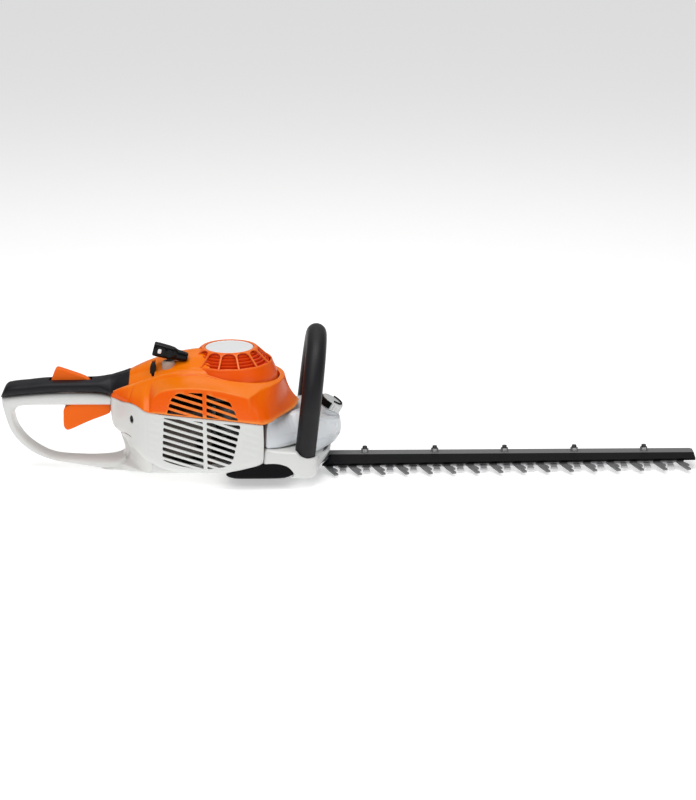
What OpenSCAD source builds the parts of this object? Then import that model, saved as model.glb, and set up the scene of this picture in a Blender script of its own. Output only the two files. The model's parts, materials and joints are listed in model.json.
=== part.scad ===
// Petrol hedge trimmer with a single-sided cutting bar.
// X runs forwards along the bar, Y across the machine, Z up from the ground.
// The vertical crankshaft axis is X = 0, Y = 0, and the skid foot rests on Z = 0.

/* [Casing] */
// Wall thickness of the moulded covers
wall = 3; // [2:0.5:4]
// Largest half width of the casing
case_half_w = 97; // [92:1:100]
// Height of the flat deck that carries the starter
deck_z = 127; // [124:1:130]
// Height of the seam between cover and side panels at the rear
seam_rear_z = 93; // [90:1:95]
// Height of the same seam at the front
seam_front_z = 82; // [80:1:84]

/* [Vents] */
// Vertical distance from one vent slot to the next
vent_pitch = 7.6; // [7:0.1:9]
// Height of one vent slot
vent_h = 4.1; // [3:0.1:5]
// Slope of the vent slots, falling towards the front
vent_slope = 15; // [10:1:20]

/* [Rear handle] */
// Half width of the white handle loop
loop_half_w = 16; // [14:1:18]
// Half width of the soft grip
grip_half_w = 18; // [17:1:19]
// Travel of the throttle trigger in degrees
trigger_travel = 14; // [10:1:14]

/* [Front handle] */
// Radius of the bow tube
bow_r = 13; // [12:0.5:14]
// Radius of the arch along the tube's centre line
bow_arch_r = 78; // [76:1:80]
// Forward lean of the bow
bow_lean = 6.7; // [5:0.1:8]

/* [Cutting bar] */
// Tooth pitch of both blades
pitch = 30; // [28:1:32]
// Number of long teeth
teeth = 16; // [12:1:16]
// Stroke of each blade
stroke = 15; // [14:0.5:15]
// Width of the flat strip that carries the bolts
strip_w = 18; // [16:1:20]
// Downward fold of the toothed side
fold = 12; // [8:1:13]
// Sheet thickness of a blade
blade_t = 2.5; // [2:0.1:2.6]
// Number of bar bolts
bolts = 5; // [4:1:5]
// Distance between bar bolts
bolt_pitch = 90; // [80:1:90]

/* [Drive] */
// Gear module
gear_m = 2; // [2:1:2]
// Teeth on the drive gear
gear_teeth = 54; // [54:1:54]
// Teeth on the pinion
pinion_teeth = 12; // [12:1:12]
// Radius of the flywheel fan
fan_r = 52; // [48:1:54]

/* [Hidden] */
$fn = 48;

big = 400;
gap = 0.3;
// Half of the plan outline, from the rear to the nose
plan_half = [[-151, 19.5], [-142, 28], [-125, 55], [-104, 84], [-60, 91], [-20, 95],
    [20, case_half_w], [40, case_half_w], [50, 88], [62, 68], [75, 42], [84, 20], [88, 6]];
gear_x = gear_m * (gear_teeth + pinion_teeth) / 2;
gear_ratio = gear_teeth / pinion_teeth;
ecc = stroke / 2;
ecc_r = 12;
yoke_half = ecc_r + 2;
bar_z = 14;
bar_t = 3;
upper_z = bar_z - gap - blade_t;
lower_z = upper_z - gap - blade_t;
bar_x0 = 115;
bar_x1 = 596;
bolt_x0 = 172.4;
tooth_x0 = 133.5;
flange_root = 24;
flange_tip = 15;
long_tooth = 20;
short_tooth = 9;
bow_x = 95;
bow_z = 37;
bow_leg = 59;
cap_tilt = 32;
cap_pos = [129, -4, 84];
grip_pos = [-76, -26, 152];

// Moves every corner of a closed outline inwards by d
function unit(v) = v / norm(v);
function left_of(a, b) = let (d = unit(b - a)) [-d[1], d[0]];
function inset(p, d) = [for (i = [0 : len(p) - 1])
    let (a = p[(i + len(p) - 1) % len(p)], b = p[i], c = p[(i + 1) % len(p)],
        n1 = left_of(a, b), n2 = left_of(b, c))
    b + (n1 + n2) * d / (1 + n1 * n2)];
function mirrored(half) = concat([for (p = half) [p[0], -p[1]]],
    [for (i = [len(half) - 1 : -1 : 0]) half[i]]);

// Extrusions of a side view, and of an end view
module along_y(y0, y1) translate([0, y1, 0]) rotate([90, 0, 0]) linear_extrude(y1 - y0)
    children();
module along_x(x0, x1) translate([x0, 0, 0]) rotate([90, 0, 90]) linear_extrude(x1 - x0)
    children();
module block(lo, hi) translate(lo) cube(hi - lo);
module plan_solid(d, z0, z1) translate([0, 0, z0]) linear_extrude(z1 - z0)
    polygon(inset(mirrored(plan_half), d));

// ---------- casing ----------
cover_side = [[-151, seam_rear_z], [40, seam_front_z], [89, 84.5], [83, 98], [79, 106],
    [74, 116], [66, 121], [0, deck_z], [-75, 131], [-100, 129], [-126, 124], [-143, 107],
    [-151, 101]];
cover_end = [[-100, 75], [100, 75], [98, 84], [94, 112], [85, 124], [66, 131], [60, 140],
    [-60, 140], [-66, 131], [-85, 124], [-94, 112], [-98, 84]];
hump_side = [[-127, 118], [-126, 128], [-100, 141], [-64, 148], [-52, 149], [-46, 128], [-46, 118]];
hump_end = [[-46, 118], [44, 118], [30, 143], [16, 151], [-4, 151], [-16, 144], [-36, 131]];

module cover_form(d) {
    intersection() {
        plan_solid(d, 70, 145);
        along_y(-big, big) polygon(inset(cover_side, d));
        along_x(-big, big) polygon(inset(cover_end, d));
    }
    intersection() {
        along_y(-big, big) polygon(inset(hump_side, d));
        along_x(-big, big) polygon(inset(hump_end, d));
    }
}
// One row of slots on the near side, cut by a vertical bar in the middle
module vent_row(k) {
    for (s = [[-80 + 0.35 * k, -35.5], [-30.5, 10 + 0.6 * abs(6 - k)]])
        translate([-33, 0, 19 + k * vent_pitch]) rotate([0, vent_slope, 0])
            translate([(s[0] + 33) / cos(vent_slope), -110, 0])
                cube([(s[1] - s[0]) / cos(vent_slope), 45, vent_h]);
}
module vents(rows) for (k = rows) vent_row(k);

module top_cover() color("orangered") difference() {
    union() {
        difference() {
            cover_form(0);
            cover_form(wall);
            translate([0, 0, -big]) linear_extrude(big + seam_rear_z + 5)
                polygon(inset(mirrored(plan_half), wall));
        }
        intersection() {
            translate([0, 0, 116]) difference() {
                cylinder(h = 14, r = 70);
                translate([0, 0, -1]) cylinder(h = 16, r = 66.5);
            }
            block([-30, -80, 110], [80, 80, 140]);
        }
        translate([grip_pos[0], grip_pos[1], 128]) cylinder(h = 20, r = 12);
    }
    translate([0, 0, 100]) cylinder(h = 80, r = 64);
    block([-153, -16.4, 80], [-147.5, 16.4, 98.8]);
    vents([9 : 12]);
    translate([grip_pos[0], grip_pos[1], 100]) cylinder(h = 80, r = 6.3);
    block([-99.5, -60, 122], [-94.5, -14, 146]);
    for (s = [-1, 1]) translate([-100, s * 62, 100]) cylinder(h = 60, r = 2.6);
}

dome_out = [[0, 157], [31, 157], [37.5, 155], [45, 139.5], [47.5, 138], [57, 131.5], [61, 124],
    [61.5, 117.5]];
dome_in = [[59, 117.5], [58.5, 123], [55, 129.5], [46.5, 135.5], [42, 139], [35.5, 152.5],
    [30, 154], [0, 154]];
module starter_housing() color("orangered") difference() {
    union() {
        rotate_extrude() polygon(concat(dome_out, dome_in));
        translate([0, 0, 139]) cylinder(h = 15.5, r = 5);
    }
    for (k = [0 : 11]) rotate([0, 0, 15 + 30 * k]) {
        block([33, -7.5, 141.5], [52, 7.5, 146]);
        translate([33, 0, 146]) rotate([0, 90, 0]) cylinder(h = 19, r = 7.5);
    }
    block([-64, -34, 117], [-40, -18, 143]);
}
module badge_disc() color("white") translate([0, 0, 157]) cylinder(h = 1.8, r = 30.5);

panel_low = [[-152, 60], [-138, 50], [-115, 36], [-103, 29.5], [-90, 22.7], [-77, 18.7],
    [-54, 16.4], [44, 16], [44, seam_front_z - gap], [40, seam_front_z - gap],
    [-152, seam_rear_z - gap]];
module panel_ring() intersection() {
    difference() {
        plan_solid(0, 10, 100);
        plan_solid(wall, 0, 110);
        block([-153, -16.4, 0], [-140, 16.4, 120]);
    }
    along_y(-big, big) polygon(panel_low);
}
module foot_space(d) along_y(-big, big) polygon(inset(foot_side, -d));
module side_panel_near() color("white") difference() {
    intersection() {
        panel_ring();
        block([-200, -200, 0], [100, -0.5, 120]);
    }
    vents([0 : 9]);
    translate([-120.5, -30, 65]) rotate([90, 0, 0]) cylinder(h = 60, r = 3.2);
    foot_space(gap);
}
module side_panel_far() color("white") difference() {
    intersection() {
        panel_ring();
        block([-200, 0.5, 0], [100, 200, 120]);
    }
    block([-82.3, 50, 29.7], [-17.7, 120, 80.3]);
    translate([-120.5, 90, 65]) rotate([90, 0, 0]) cylinder(h = 60, r = 3.2);
    for (k = [0 : 3]) block([-8, 80, 30 + 9 * k], [34, 120, 34 + 9 * k]);
    foot_space(gap);
}

base_front = [[44.3, 94], [70, 94], [86, 95.5], [100, 95], [110, 88], [116, 70], [125, 40], [130, 16]];
base_side = [[-102, 14], [82.3, 14], [84, 12], [116, 12], [131, 30], [131, 31.7], [112, 31.7],
    [101, 37], [88, 37], [84, 46.7], [44.3, 46.7], [44.3, 17], [-102, 17]];
module base_plan(d) polygon(inset(mirrored(concat(
    [[-102, 81], [-60, 87.5], [20, 93], [44.2, 93]], base_front)), d));
module base_housing() color("white") difference() {
    union() {
        intersection() {
            translate([0, 0, 5]) linear_extrude(60) base_plan(0);
            along_y(-big, big) polygon(base_side);
        }
        for (s = [-1, 1]) translate([bow_x, s * bow_arch_r, 12]) cylinder(h = 25, r = 17);
    }
    // hollow of the front part, above its floor
    intersection() {
        translate([0, 0, 17]) linear_extrude(60) base_plan(wall);
        block([48, -62, 17], [140, 62, 60]);
    }
    block([44, -90.7, 17], [76, 90.7, 60]);
    // channel for blades and bar
    block([32, -31, 5], [150, 31, 17.3]);
    block([100, -70, 5], [150, 31, 17.3]);
    for (s = [-1, 1]) bow_place() translate([0, s * bow_arch_r, -8]) cylinder(h = 40, r = bow_r);
    translate([gear_x, 0, 0]) cylinder(h = 60, r = 22);
    cylinder(h = 30, r = 8);
    foot_space(gap);
    for (s = [-1, 1]) translate([60, s * 50, 0]) cylinder(h = 30, r = 2.6);
    for (s = [-1, 1]) translate([bow_x - 1, s * bow_arch_r, 0]) cylinder(h = 40, r = 3.05);
}

foot_side = [[-4.5, 13], [-2, 3], [-1, 0], [68, 0], [77, 4], [82, 13], [76, 21], [66, 25.5],
    [52, 26], [30, 23], [8, 17.5]];
foot_end = [[-95, 8], [-68, 0], [68, 0], [95, 8], [95, 30], [-95, 30]];
module skid_foot() color([0.12, 0.12, 0.13]) difference() {
    intersection() {
        foot_space(0);
        along_x(-10, 90) polygon(foot_end);
    }
    block([-20, -84, 7.5], [100, 84, 40]);
    block([-20, -110, 13.5], [44.5, -96.5, 40]);
    block([-20, 96.5, 13.5], [44.5, 110, 40]);
}

// ---------- rear handle ----------
loop_out = [[-294, 95], [-290, 79], [-285, 64], [-280, 52], [-269, 36.5], [-256, 25],
    [-243, 18], [-225, 12], [-205, 8], [-180, 4], [-165, 2], [-141, 3], [-115, 9.5], [-103, 13.5],
    [-103, 92], [-150, 92.6], [-150, 98.5], [-162, 100.5], [-178, 102], [-205, 102], [-231, 101],
    [-256, 99.5]];
loop_in = [[-270, 85], [-276, 80], [-277, 67], [-271, 52], [-258, 37], [-245, 26], [-231, 19],
    [-218, 15.5], [-178, 13.5], [-146, 16.5], [-139.5, 24], [-141, 44], [-146, 60], [-149, 74],
    [-152, 83], [-156, 85]];
// The tail block widens inside the side panels
module tail_form(d) intersection() {
    plan_solid(wall + 0.2 + d, -5, 100);
    block([-152, -90, 0], [-103, 90, 94]);
}
module loop_form(d) difference() {
    along_y(-big, big) polygon(inset(loop_out, d));
    along_y(-big, big) polygon(inset(loop_in, -d));
}
module handle_form(d) {
    intersection() {
        loop_form(d);
        block([-300, -loop_half_w + d, -5], [-145, loop_half_w - d, 120]);
    }
    intersection() {
        loop_form(d);
        tail_form(d);
    }
}
module handle_shell() difference() {
    handle_form(0);
    difference() {
        handle_form(wall);
        block([-300, -100, -5], [-268, 100, 120]);
    }
    // slot for the trigger, and a hollow that is open into the grip
    block([-217.5, -10, 70], [-149, 10, 110]);
    block([-232, -12, 88], [-130, 12, 104]);
    block([-110, -70, 18], [-100, 70, 88]);
    translate([-155, 30, 92]) rotate([90, 0, 0]) cylinder(h = 60, r = 2.5);
    for (s = [-1, 1]) translate([-120.5, s * 60, 65]) rotate([90, 0, 0])
        cylinder(h = 60, r = 2, center = true);
}
module handle_shell_near() color("white") intersection() {
    handle_shell();
    block([-310, -100, -5], [-90, 0, 120]);
}
module handle_shell_far() color("white") intersection() {
    handle_shell();
    block([-310, 0, -5], [-90, 100, 120]);
}

grip_out = [[-294, 95.3], [-256, 99.8], [-231, 101.3], [-205, 102.3], [-178, 102.3],
    [-162, 100.8], [-151.3, 98.9], [-151.3, 101.5], [-143.3, 107.5], [-126.6, 124.5], [-127.3, 127.5],
    [-145, 122.5], [-158, 119.5], [-177, 118], [-231, 118], [-256, 115], [-282, 112], [-288, 109]];
module rear_grip() color([0.13, 0.13, 0.15]) difference() {
    along_y(-grip_half_w, grip_half_w) polygon(grip_out);
    block([-233, -12, 95], [-158, 12, 115]);
    block([-229, -6.5, 100], [-174, 6.5, 130]);
    translate([-180, 30, 110.5]) rotate([90, 0, 0]) cylinder(h = 60, r = 1.5);
}

// The trigger turns about its front end
trigger_side = [[-211.6, 86], [-213, 58], [-211, 54], [-207.5, 51.5], [-201, 53], [-180, 64],
    [-153, 74], [-151.7, 78], [-152, 95], [-159, 96], [-163, 88]];
module throttle_trigger() color("orangered") difference() {
    along_y(-9, 9) polygon(trigger_side);
    along_y(-7, 7) polygon([[-208, 87], [-208, 60], [-200, 58], [-182, 68], [-166, 75],
        [-166, 88]]);
    translate([-155, 30, 92]) rotate([90, 0, 0]) cylinder(h = 60, r = 2.55);
    translate([-155, 3, 92]) rotate([90, 0, 0]) cylinder(h = 6, r = 5.2);
    block([-162, -3, 88], [-155, 3, 98]);
}
module trigger_pin() color("silver") translate([-155, 14, 92]) rotate([90, 0, 0])
    cylinder(h = 28, r = 2.5);
module trigger_spring() color("silver") translate([-155, 0, 92]) rotate([90, 0, 0])
    difference() {
        translate([0, 0, -2.5]) cylinder(h = 5, r = 4.3);
        translate([0, 0, -3]) cylinder(h = 6, r = 2.7);
    }
lever_side = [[-227, 113], [-226.7, 118], [-221.5, 131], [-218.5, 133], [-215, 132],
    [-178, 119], [-177, 107.5], [-183, 107.5], [-186, 113]];
module lockout_lever() color("orangered") difference() {
    along_y(-6, 6) polygon(lever_side);
    translate([-180, 30, 110.5]) rotate([90, 0, 0]) cylinder(h = 60, r = 1.55);
}
module lever_pin() color("silver") translate([-180, 14, 110.5]) rotate([90, 0, 0])
    cylinder(h = 28, r = 1.5);
rod_from = [-149, 0, 97.6];
rod_to = [-56, 52, 89];
rod_run = rod_to - rod_from;
module throttle_rod() color("silver") translate(rod_from)
    rotate([0, acos(rod_run[2] / norm(rod_run)), atan2(rod_run[1], rod_run[0])])
        cylinder(h = norm(rod_run), r = 1.2);

// ---------- front bow ----------
module bow_place() translate([bow_x, 0, bow_z]) rotate([0, bow_lean, 0]) children();
module front_bow() color([0.15, 0.15, 0.16]) bow_place() {
    translate([0, 0, bow_leg]) rotate([90, 0, 90]) difference() {
        rotate_extrude() translate([bow_arch_r, 0]) circle(r = bow_r - 0.02);
        block([-100, -120, -20], [100, 0, 20]);
    }
    for (s = [-1, 1]) translate([0, s * bow_arch_r, -7.9])
        cylinder(h = bow_leg + 8, r = bow_r - 0.02);
}
module bow_screws() color("silver") for (s = [-1, 1])
    translate([bow_x - 1, s * bow_arch_r, 12.5]) cylinder(h = 16, r = 3);

// ---------- fuel tank ----------
tank_plan = mirrored([[47, 89], [62, 80], [78, 66], [86, 58], [108, 57], [124, 42], [136, 24],
    [142.5, 8]]);
tank_side = [[47, 47.2], [84, 47.2], [90, 40], [101, 37.3], [112, 32], [131, 32], [139, 45],
    [143, 60], [141.5, 67], [136, 71], [128, 75.5], [114, 79], [47, 79]];
module tank_form(d) intersection() {
    translate([0, 0, 20]) linear_extrude(80) polygon(inset(tank_plan, d));
    along_y(-big, big) polygon(inset(tank_side, d));
}
module cap_axis() translate(cap_pos) rotate([0, cap_tilt, 0]) children();
module fuel_tank() color([0.78, 0.81, 0.85]) difference() {
    union() {
        tank_form(0);
        cap_axis() translate([0, 0, -24]) cylinder(h = 18.4, r = 14);
        cap_axis() translate([0, 0, -6.6]) cylinder(h = 6.6, r = 11);
    }
    tank_form(2.5);
    cap_axis() translate([0, 0, -30]) cylinder(h = 40, r = 9);
}
module fuel_cap() color([0.85, 0.86, 0.86]) cap_axis() difference() {
    translate([0, 0, -5.2]) cylinder(h = 11.2, r = 15);
    translate([0, 0, -6]) cylinder(h = 6.3, r = 11.3);
}
module cap_bail() color([0.1, 0.1, 0.1]) cap_axis() translate([0, 0, 6.3]) difference() {
    cylinder(h = 3, r = 13.5);
    translate([0, 0, -1]) cylinder(h = 5, r = 9.5);
    block([-20, -20, -1], [0, 20, 5]);
}

// ---------- air intake ----------
module air_filter_cover() color([0.16, 0.16, 0.17]) difference() {
    union() {
        block([-82, 84, 30], [-18, 95, 80]);
        block([-79, 76, 33], [-21, 84.5, 77]);
    }
    block([-76, 60, 36], [-24, 91, 74]);
    translate([-32, 70, 44]) rotate([-90, 0, 0]) cylinder(h = 40, r = 3.5);
    for (k = [0 : 3]) block([-74, 88, 40 + 8 * k], [-46, 99, 43 + 8 * k]);
}
module air_filter() color([0.85, 0.83, 0.75]) block([-75, 79, 37], [-40, 87, 73]);
module choke_knob() color([0.1, 0.1, 0.1]) translate([-32, 0, 44]) rotate([-90, 0, 0]) {
    translate([0, 0, 82]) cylinder(h = 14, r = 3.45);
    translate([0, 0, 95.3]) cylinder(h = 3, r = 9);
    block([-2, -8.5, 98], [2, 8.5, 101]);
}
module carburettor() color([0.72, 0.73, 0.75]) difference() {
    union() {
        block([-66, 46, 48], [-38, 76, 78]);
        translate([-52, 52, 79]) rotate([-90, 0, 0]) cylinder(h = 14, r = 7);
    }
    translate([-52, 40, 63]) rotate([-90, 0, 0]) cylinder(h = 50, r = 8);
}
module intake_flange() color([0.15, 0.15, 0.15]) translate([-52, 32, 63]) rotate([-90, 0, 0])
    difference() {
        cylinder(h = 14, r = 13);
        translate([0, 0, -1]) cylinder(h = 16, r = 8);
    }

// ---------- engine ----------
crank_z = 74;
bore_r = 19;
cyl_x = -34;
throw = 15;
wrist_x = -70;
module engine_cylinder() color([0.7, 0.71, 0.72]) translate([cyl_x, 0, crank_z]) rotate([0, -90, 0])
    difference() {
        union() {
            cyl(60, 22.5);
            for (k = [0 : 8]) translate([-23, -30, 4 + 6 * k]) cube([46, 60, 2]);
            block([-12, 28, 10], [12, 32, 26]);
            block([-12, -32, 10], [12, -28, 30]);
        }
        translate([0, 0, -1]) cyl(54.5, bore_r);
        translate([11, 0, 18]) rotate([-90, 0, 0]) translate([0, 0, 10]) cyl(30, 6);
        translate([0, 0, 40]) cyl(30, 5);
    }
// Upright cylinder
module cyl(h, r) linear_extrude(h) circle(r = r);
module piston() color("silver") translate([wrist_x + 9, 0, crank_z]) rotate([0, -90, 0])
    difference() {
        cyl(24, bore_r - 0.05);
        translate([0, 0, -1]) cyl(19, bore_r - 4);
        translate([0, 30, 9]) rotate([90, 0, 0]) cyl(60, 4);
    }
module gudgeon_pin() color("silver") translate([wrist_x, 17, crank_z]) rotate([90, 0, 0])
    cyl(34, 3.98);
module connecting_rod() color("silver") difference() {
    union() {
        translate([wrist_x, 5, crank_z]) rotate([90, 0, 0]) cyl(10, 8);
        translate([-throw, 0, crank_z - 3]) cyl(6, 10);
        block([wrist_x + 6, -4, crank_z - 3], [-throw - 7, 4, crank_z + 3]);
    }
    translate([wrist_x, 20, crank_z]) rotate([90, 0, 0]) cyl(40, 4.02);
    translate([-throw, 0, crank_z - 10]) cyl(20, 6);
}
module crankcase() color([0.66, 0.67, 0.68]) difference() {
    union() {
        translate([0, 0, 50]) cyl(47, 33);
        block([cyl_x, -28, 50], [0, 28, 97]);
    }
    translate([0, 0, 60]) cyl(28, 29);
    translate([cyl_x - 1, 0, crank_z]) rotate([0, 90, 0]) cyl(30, bore_r + 0.5);
    translate([0, 0, 40]) cyl(70, 8);
    translate([0, 0, 50]) cyl(7, 13);
    translate([0, 0, 90]) cyl(8, 13);
}
module race(z) translate([0, 0, z]) difference() {
    cyl(6, 12.95);
    translate([0, 0, -1]) cyl(8, 7.05);
}
module upper_bearing() color("silver") race(90.5);
module lower_bearing() color("silver") race(50.5);
module muffler() color([0.45, 0.42, 0.4]) difference() {
    block([-84, -80, 38], [-22, -38, 96]);
    block([-81, -77, 41], [-25, -41, 93]);
    translate([-52, -30, 90]) rotate([90, 0, 0]) cyl(20, 6);
    translate([-35, -70, 55]) rotate([90, 0, 0]) cyl(20, 7);
}
module spark_plug() color("white") translate([cyl_x - 54, 0, crank_z]) rotate([0, -90, 0]) {
    cyl(8, 4.9);
    translate([0, 0, 6.2]) cyl(5, 9);
    translate([0, 0, 11]) cyl(8, 4);
}
module plug_boot() color([0.1, 0.1, 0.1]) {
    translate([cyl_x - 65.4, 0, crank_z]) rotate([0, -90, 0]) difference() {
        cyl(12, 8);
        translate([0, 0, -1]) cyl(9, 4.05);
    }
    translate([cyl_x - 80, 0, crank_z]) cyl(13, 5);
}
module ignition_module() color([0.12, 0.12, 0.13]) {
    block([-20, 54, 100.2], [8, 72, 116]);
    block([-12, 60, 84], [0, 70, 100.4]);
}
module fan_shroud() color([0.15, 0.15, 0.16]) difference() {
    translate([0, 0, 97.4]) cyl(2.4, 62);
    translate([0, 0, 90]) cyl(20, 12);
    for (a = [0 : 60 : 300]) rotate([0, 0, a]) translate([40, 0, 90]) cyl(20, 10);
    block([-13, 59, 90], [1, 71, 110]);
}

// ---------- turning parts on the crankshaft ----------
module crankshaft() color("silver") {
    translate([0, 0, 39]) cyl(25, 7);
    translate([0, 0, 84.3]) cyl(15, 7);
    translate([0, 0, 99]) cyl(20, 5);
    translate([0, 0, 64]) cyl(4, 26);
    translate([0, 0, 80.3]) cyl(4, 26);
    // the crank pin is open in the middle, where the rod's big end runs clear
    translate([-throw, 0, 67]) cyl(3.6, 5);
    translate([-throw, 0, 77.4]) cyl(3.6, 5);
}
module flywheel() color([0.6, 0.62, 0.64]) difference() {
    union() {
        translate([0, 0, 101]) cyl(3, fan_r);
        translate([0, 0, 101]) cyl(12, 20);
        for (a = [0 : 18 : 342]) rotate([0, 0, a]) block([19, -1, 103], [fan_r - 1, 1, 113]);
    }
    translate([0, 0, 100]) cyl(20, 5);
}
module starter_cup() color("silver") translate([0, 0, 113.2]) difference() {
    cyl(7, 18);
    translate([0, 0, 2.5]) cyl(7, 15.5);
    translate([0, 0, -1]) cyl(9, 5);
}
module clutch_hub() color([0.4, 0.4, 0.42]) translate([0, 0, 37.5]) difference() {
    union() {
        cyl(7, 11);
        block([-5, -22, 0], [5, 22, 7]);
    }
    translate([0, 0, 1.5]) cyl(12, 7);
}
module clutch_shoes() color([0.3, 0.28, 0.27]) for (s = [-1, 1]) translate([0, 0, 37.8])
    intersection() {
        difference() {
            cyl(6, 26);
            translate([0, 0, -1]) cyl(9, 14);
        }
        block([s > 0 ? 6 : -30, -30, 0], [s > 0 ? 30 : -6, 30, 8]);
    }

// ---------- starter ----------
module rope_drum() color([0.85, 0.85, 0.82]) translate([0, 0, 126]) difference() {
    union() {
        cyl(2, 32);
        translate([0, 0, 2]) cyl(6, 26);
        translate([0, 0, 8]) cyl(2, 32);
        translate([0, 0, -5]) cyl(5, 13);
        translate([0, 0, 10]) cyl(14, 8);
    }
    translate([0, 0, 12.5]) cyl(14, 5.05);
}
module starter_rope() color([0.2, 0.2, 0.2]) translate([0, 0, 128.3]) difference() {
    cyl(5.4, 30);
    translate([0, 0, -1]) cyl(8, 26.1);
}
module recoil_spring() color("silver") for (k = [0 : 5]) translate([0, 0, 137.2]) difference() {
    cyl(6, 28 - 3 * k);
    translate([0, 0, -1]) cyl(8, 27 - 3 * k);
}
module rope_guide() color([0.1, 0.1, 0.1]) translate([grip_pos[0], grip_pos[1], 140])
    difference() {
        cyl(9.5, 6.2);
        translate([0, 0, -1]) cyl(20, 3.2);
    }
module starter_grip() color([0.1, 0.1, 0.1]) translate(grip_pos) {
    translate([0, 0, -9]) cyl(12, 2.2);
    difference() {
        translate([0, 0, 7]) rotate([0, 15, 0]) union() {
            translate([-20.5, 0, 0]) rotate([0, 90, 0]) cyl(26, 8);
            translate([5, 0, 0]) rotate([0, 90, 0]) cyl(16, 6);
            translate([-1, 0, -5]) cyl(4, 5.5);
        }
        translate([0, 0, 7]) rotate([0, 15, 0]) translate([-22, 0, 0]) rotate([0, 90, 0]) cyl(10, 5.5);
    }
}
module stop_switch() color([0.1, 0.1, 0.1]) block([-99, -38, 122.5], [-95, -24, 140]);

// ---------- drive ----------
// Involute tooth outline: points of one flank at rising radius
function inv_angle(rb, r) = let (t = sqrt(max(0, pow(r / rb, 2) - 1))) t * 180 / PI - atan(t);
function gear_points(n, m, thin) = let (r = n * m / 2, rb = r * cos(20), ra = r + 0.8 * m,
    rf = r - 1.25 * m, half = 90 / n - thin * 90 / PI / r, a0 = half + inv_angle(rb, r),
    radii = [rf, max(rb, rf) + 0.01, (max(rb, rf) + ra) / 2, ra])
    [for (k = [0 : n - 1]) each concat(
        [for (q = radii) let (a = 360 / n * k - a0 + inv_angle(rb, max(q, rb))) [q * cos(a), q * sin(a)]],
        [for (i = [3 : -1 : 0]) let (q = radii[i], a = 360 / n * k + a0 - inv_angle(rb, max(q, rb)))
            [q * cos(a), q * sin(a)]])];
module clutch_drum() color([0.45, 0.45, 0.47]) {
    translate([0, 0, 33]) cyl(2, 30);
    translate([0, 0, 34]) difference() {
        cyl(11.5, 30);
        translate([0, 0, -1]) cyl(14, 27.5);
    }
    translate([0, 0, 26]) cyl(7.5, 6);
    translate([0, 0, 19.8]) linear_extrude(6.6)
        polygon(gear_points(pinion_teeth, gear_m, 0.3));
}
module drive_gear() color("silver") translate([gear_x, 0, 0]) {
    translate([0, 0, 20.2]) difference() {
        linear_extrude(5.6) rotate(180 / gear_teeth) polygon(gear_points(gear_teeth, gear_m, 0.3));
        for (a = [0 : 60 : 300]) rotate([0, 0, a]) translate([30, 0, -1]) cyl(9, 10);
    }
    translate([0, 0, upper_z + blade_t]) cyl(11, 8);
    translate([0, 0, 20.2]) cyl(12, 8);
    translate([ecc, 0, upper_z]) cyl(blade_t + 0.1, ecc_r);
    translate([-ecc, 0, lower_z]) cyl(blade_t, ecc_r);
    translate([0, 0, lower_z]) cyl(8, 5);
}
gear_box_plan = mirrored([[-20, 20], [10, 56], [40, 60], [92, 60], [112, 52], [122, 34], [126, 12]]);
module gear_housing() color([0.6, 0.61, 0.63]) difference() {
    translate([0, 0, 17]) linear_extrude(11.8) polygon(gear_box_plan);
    translate([0, 0, 19.6]) linear_extrude(20) polygon(inset(gear_box_plan, 3));
    translate([gear_x, 0, 0]) cyl(40, 8.05);
    for (s = [-1, 1]) translate([60, s * 58, 0]) cyl(40, 1.5);
}
module gear_cover() color([0.6, 0.61, 0.63]) difference() {
    translate([0, 0, 28.9]) linear_extrude(3) polygon(gear_box_plan);
    translate([0, 0, 20]) cyl(30, 6.05);
    translate([gear_x, 0, 20]) cyl(30, 8.05);
}

// ---------- cutting bar ----------
// Folded sheet: a flat strip, and a side that slopes down
module folded(z) {
    difference() {
        translate([0, 0, z]) linear_extrude(blade_t) children(0);
        block([0, -200, -20], [700, -strip_w / 2, 40]);
    }
    translate([0, -strip_w / 2, z]) rotate([fold, 0, 0]) linear_extrude(blade_t) children(1);
}
function flange(x) = flange_root + (flange_tip - flange_root) * (x - bar_x0) / (bar_x1 - bar_x0);
// Long hooked tooth, leaning forwards; the origin is the middle of its root
module hook_tooth(len) polygon([[-9, 1], [-3.5, -len * 0.45], [4, -len], [9, -len * 0.97],
    [5.5, -len * 0.75], [5, -len * 0.62], [8.5, -len * 0.55], [6, -len * 0.4], [2, -len * 0.25],
    [3, 1]]);
// Short waisted tooth
module plain_tooth(len) polygon([[-6.5, 1], [-3.2, -len * 0.45], [-4.6, -len], [4.6, -len],
    [3.2, -len * 0.45], [6.5, 1]]);
module yoke_cut(x) translate([x, 0]) square([2 * yoke_half, 2 * (ecc_r + ecc + 2.5)], center = true);
module blade_strip(x_yoke) difference() {
    union() {
        translate([x_yoke - yoke_half - 7, -29]) square([2 * yoke_half + 14, 58]);
        translate([x_yoke, -11]) square([142 - x_yoke, 20]);
        translate([126, -strip_w / 2]) square([bar_x1 - 16 - 126, strip_w]);
    }
    yoke_cut(x_yoke);
    children();
}
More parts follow.
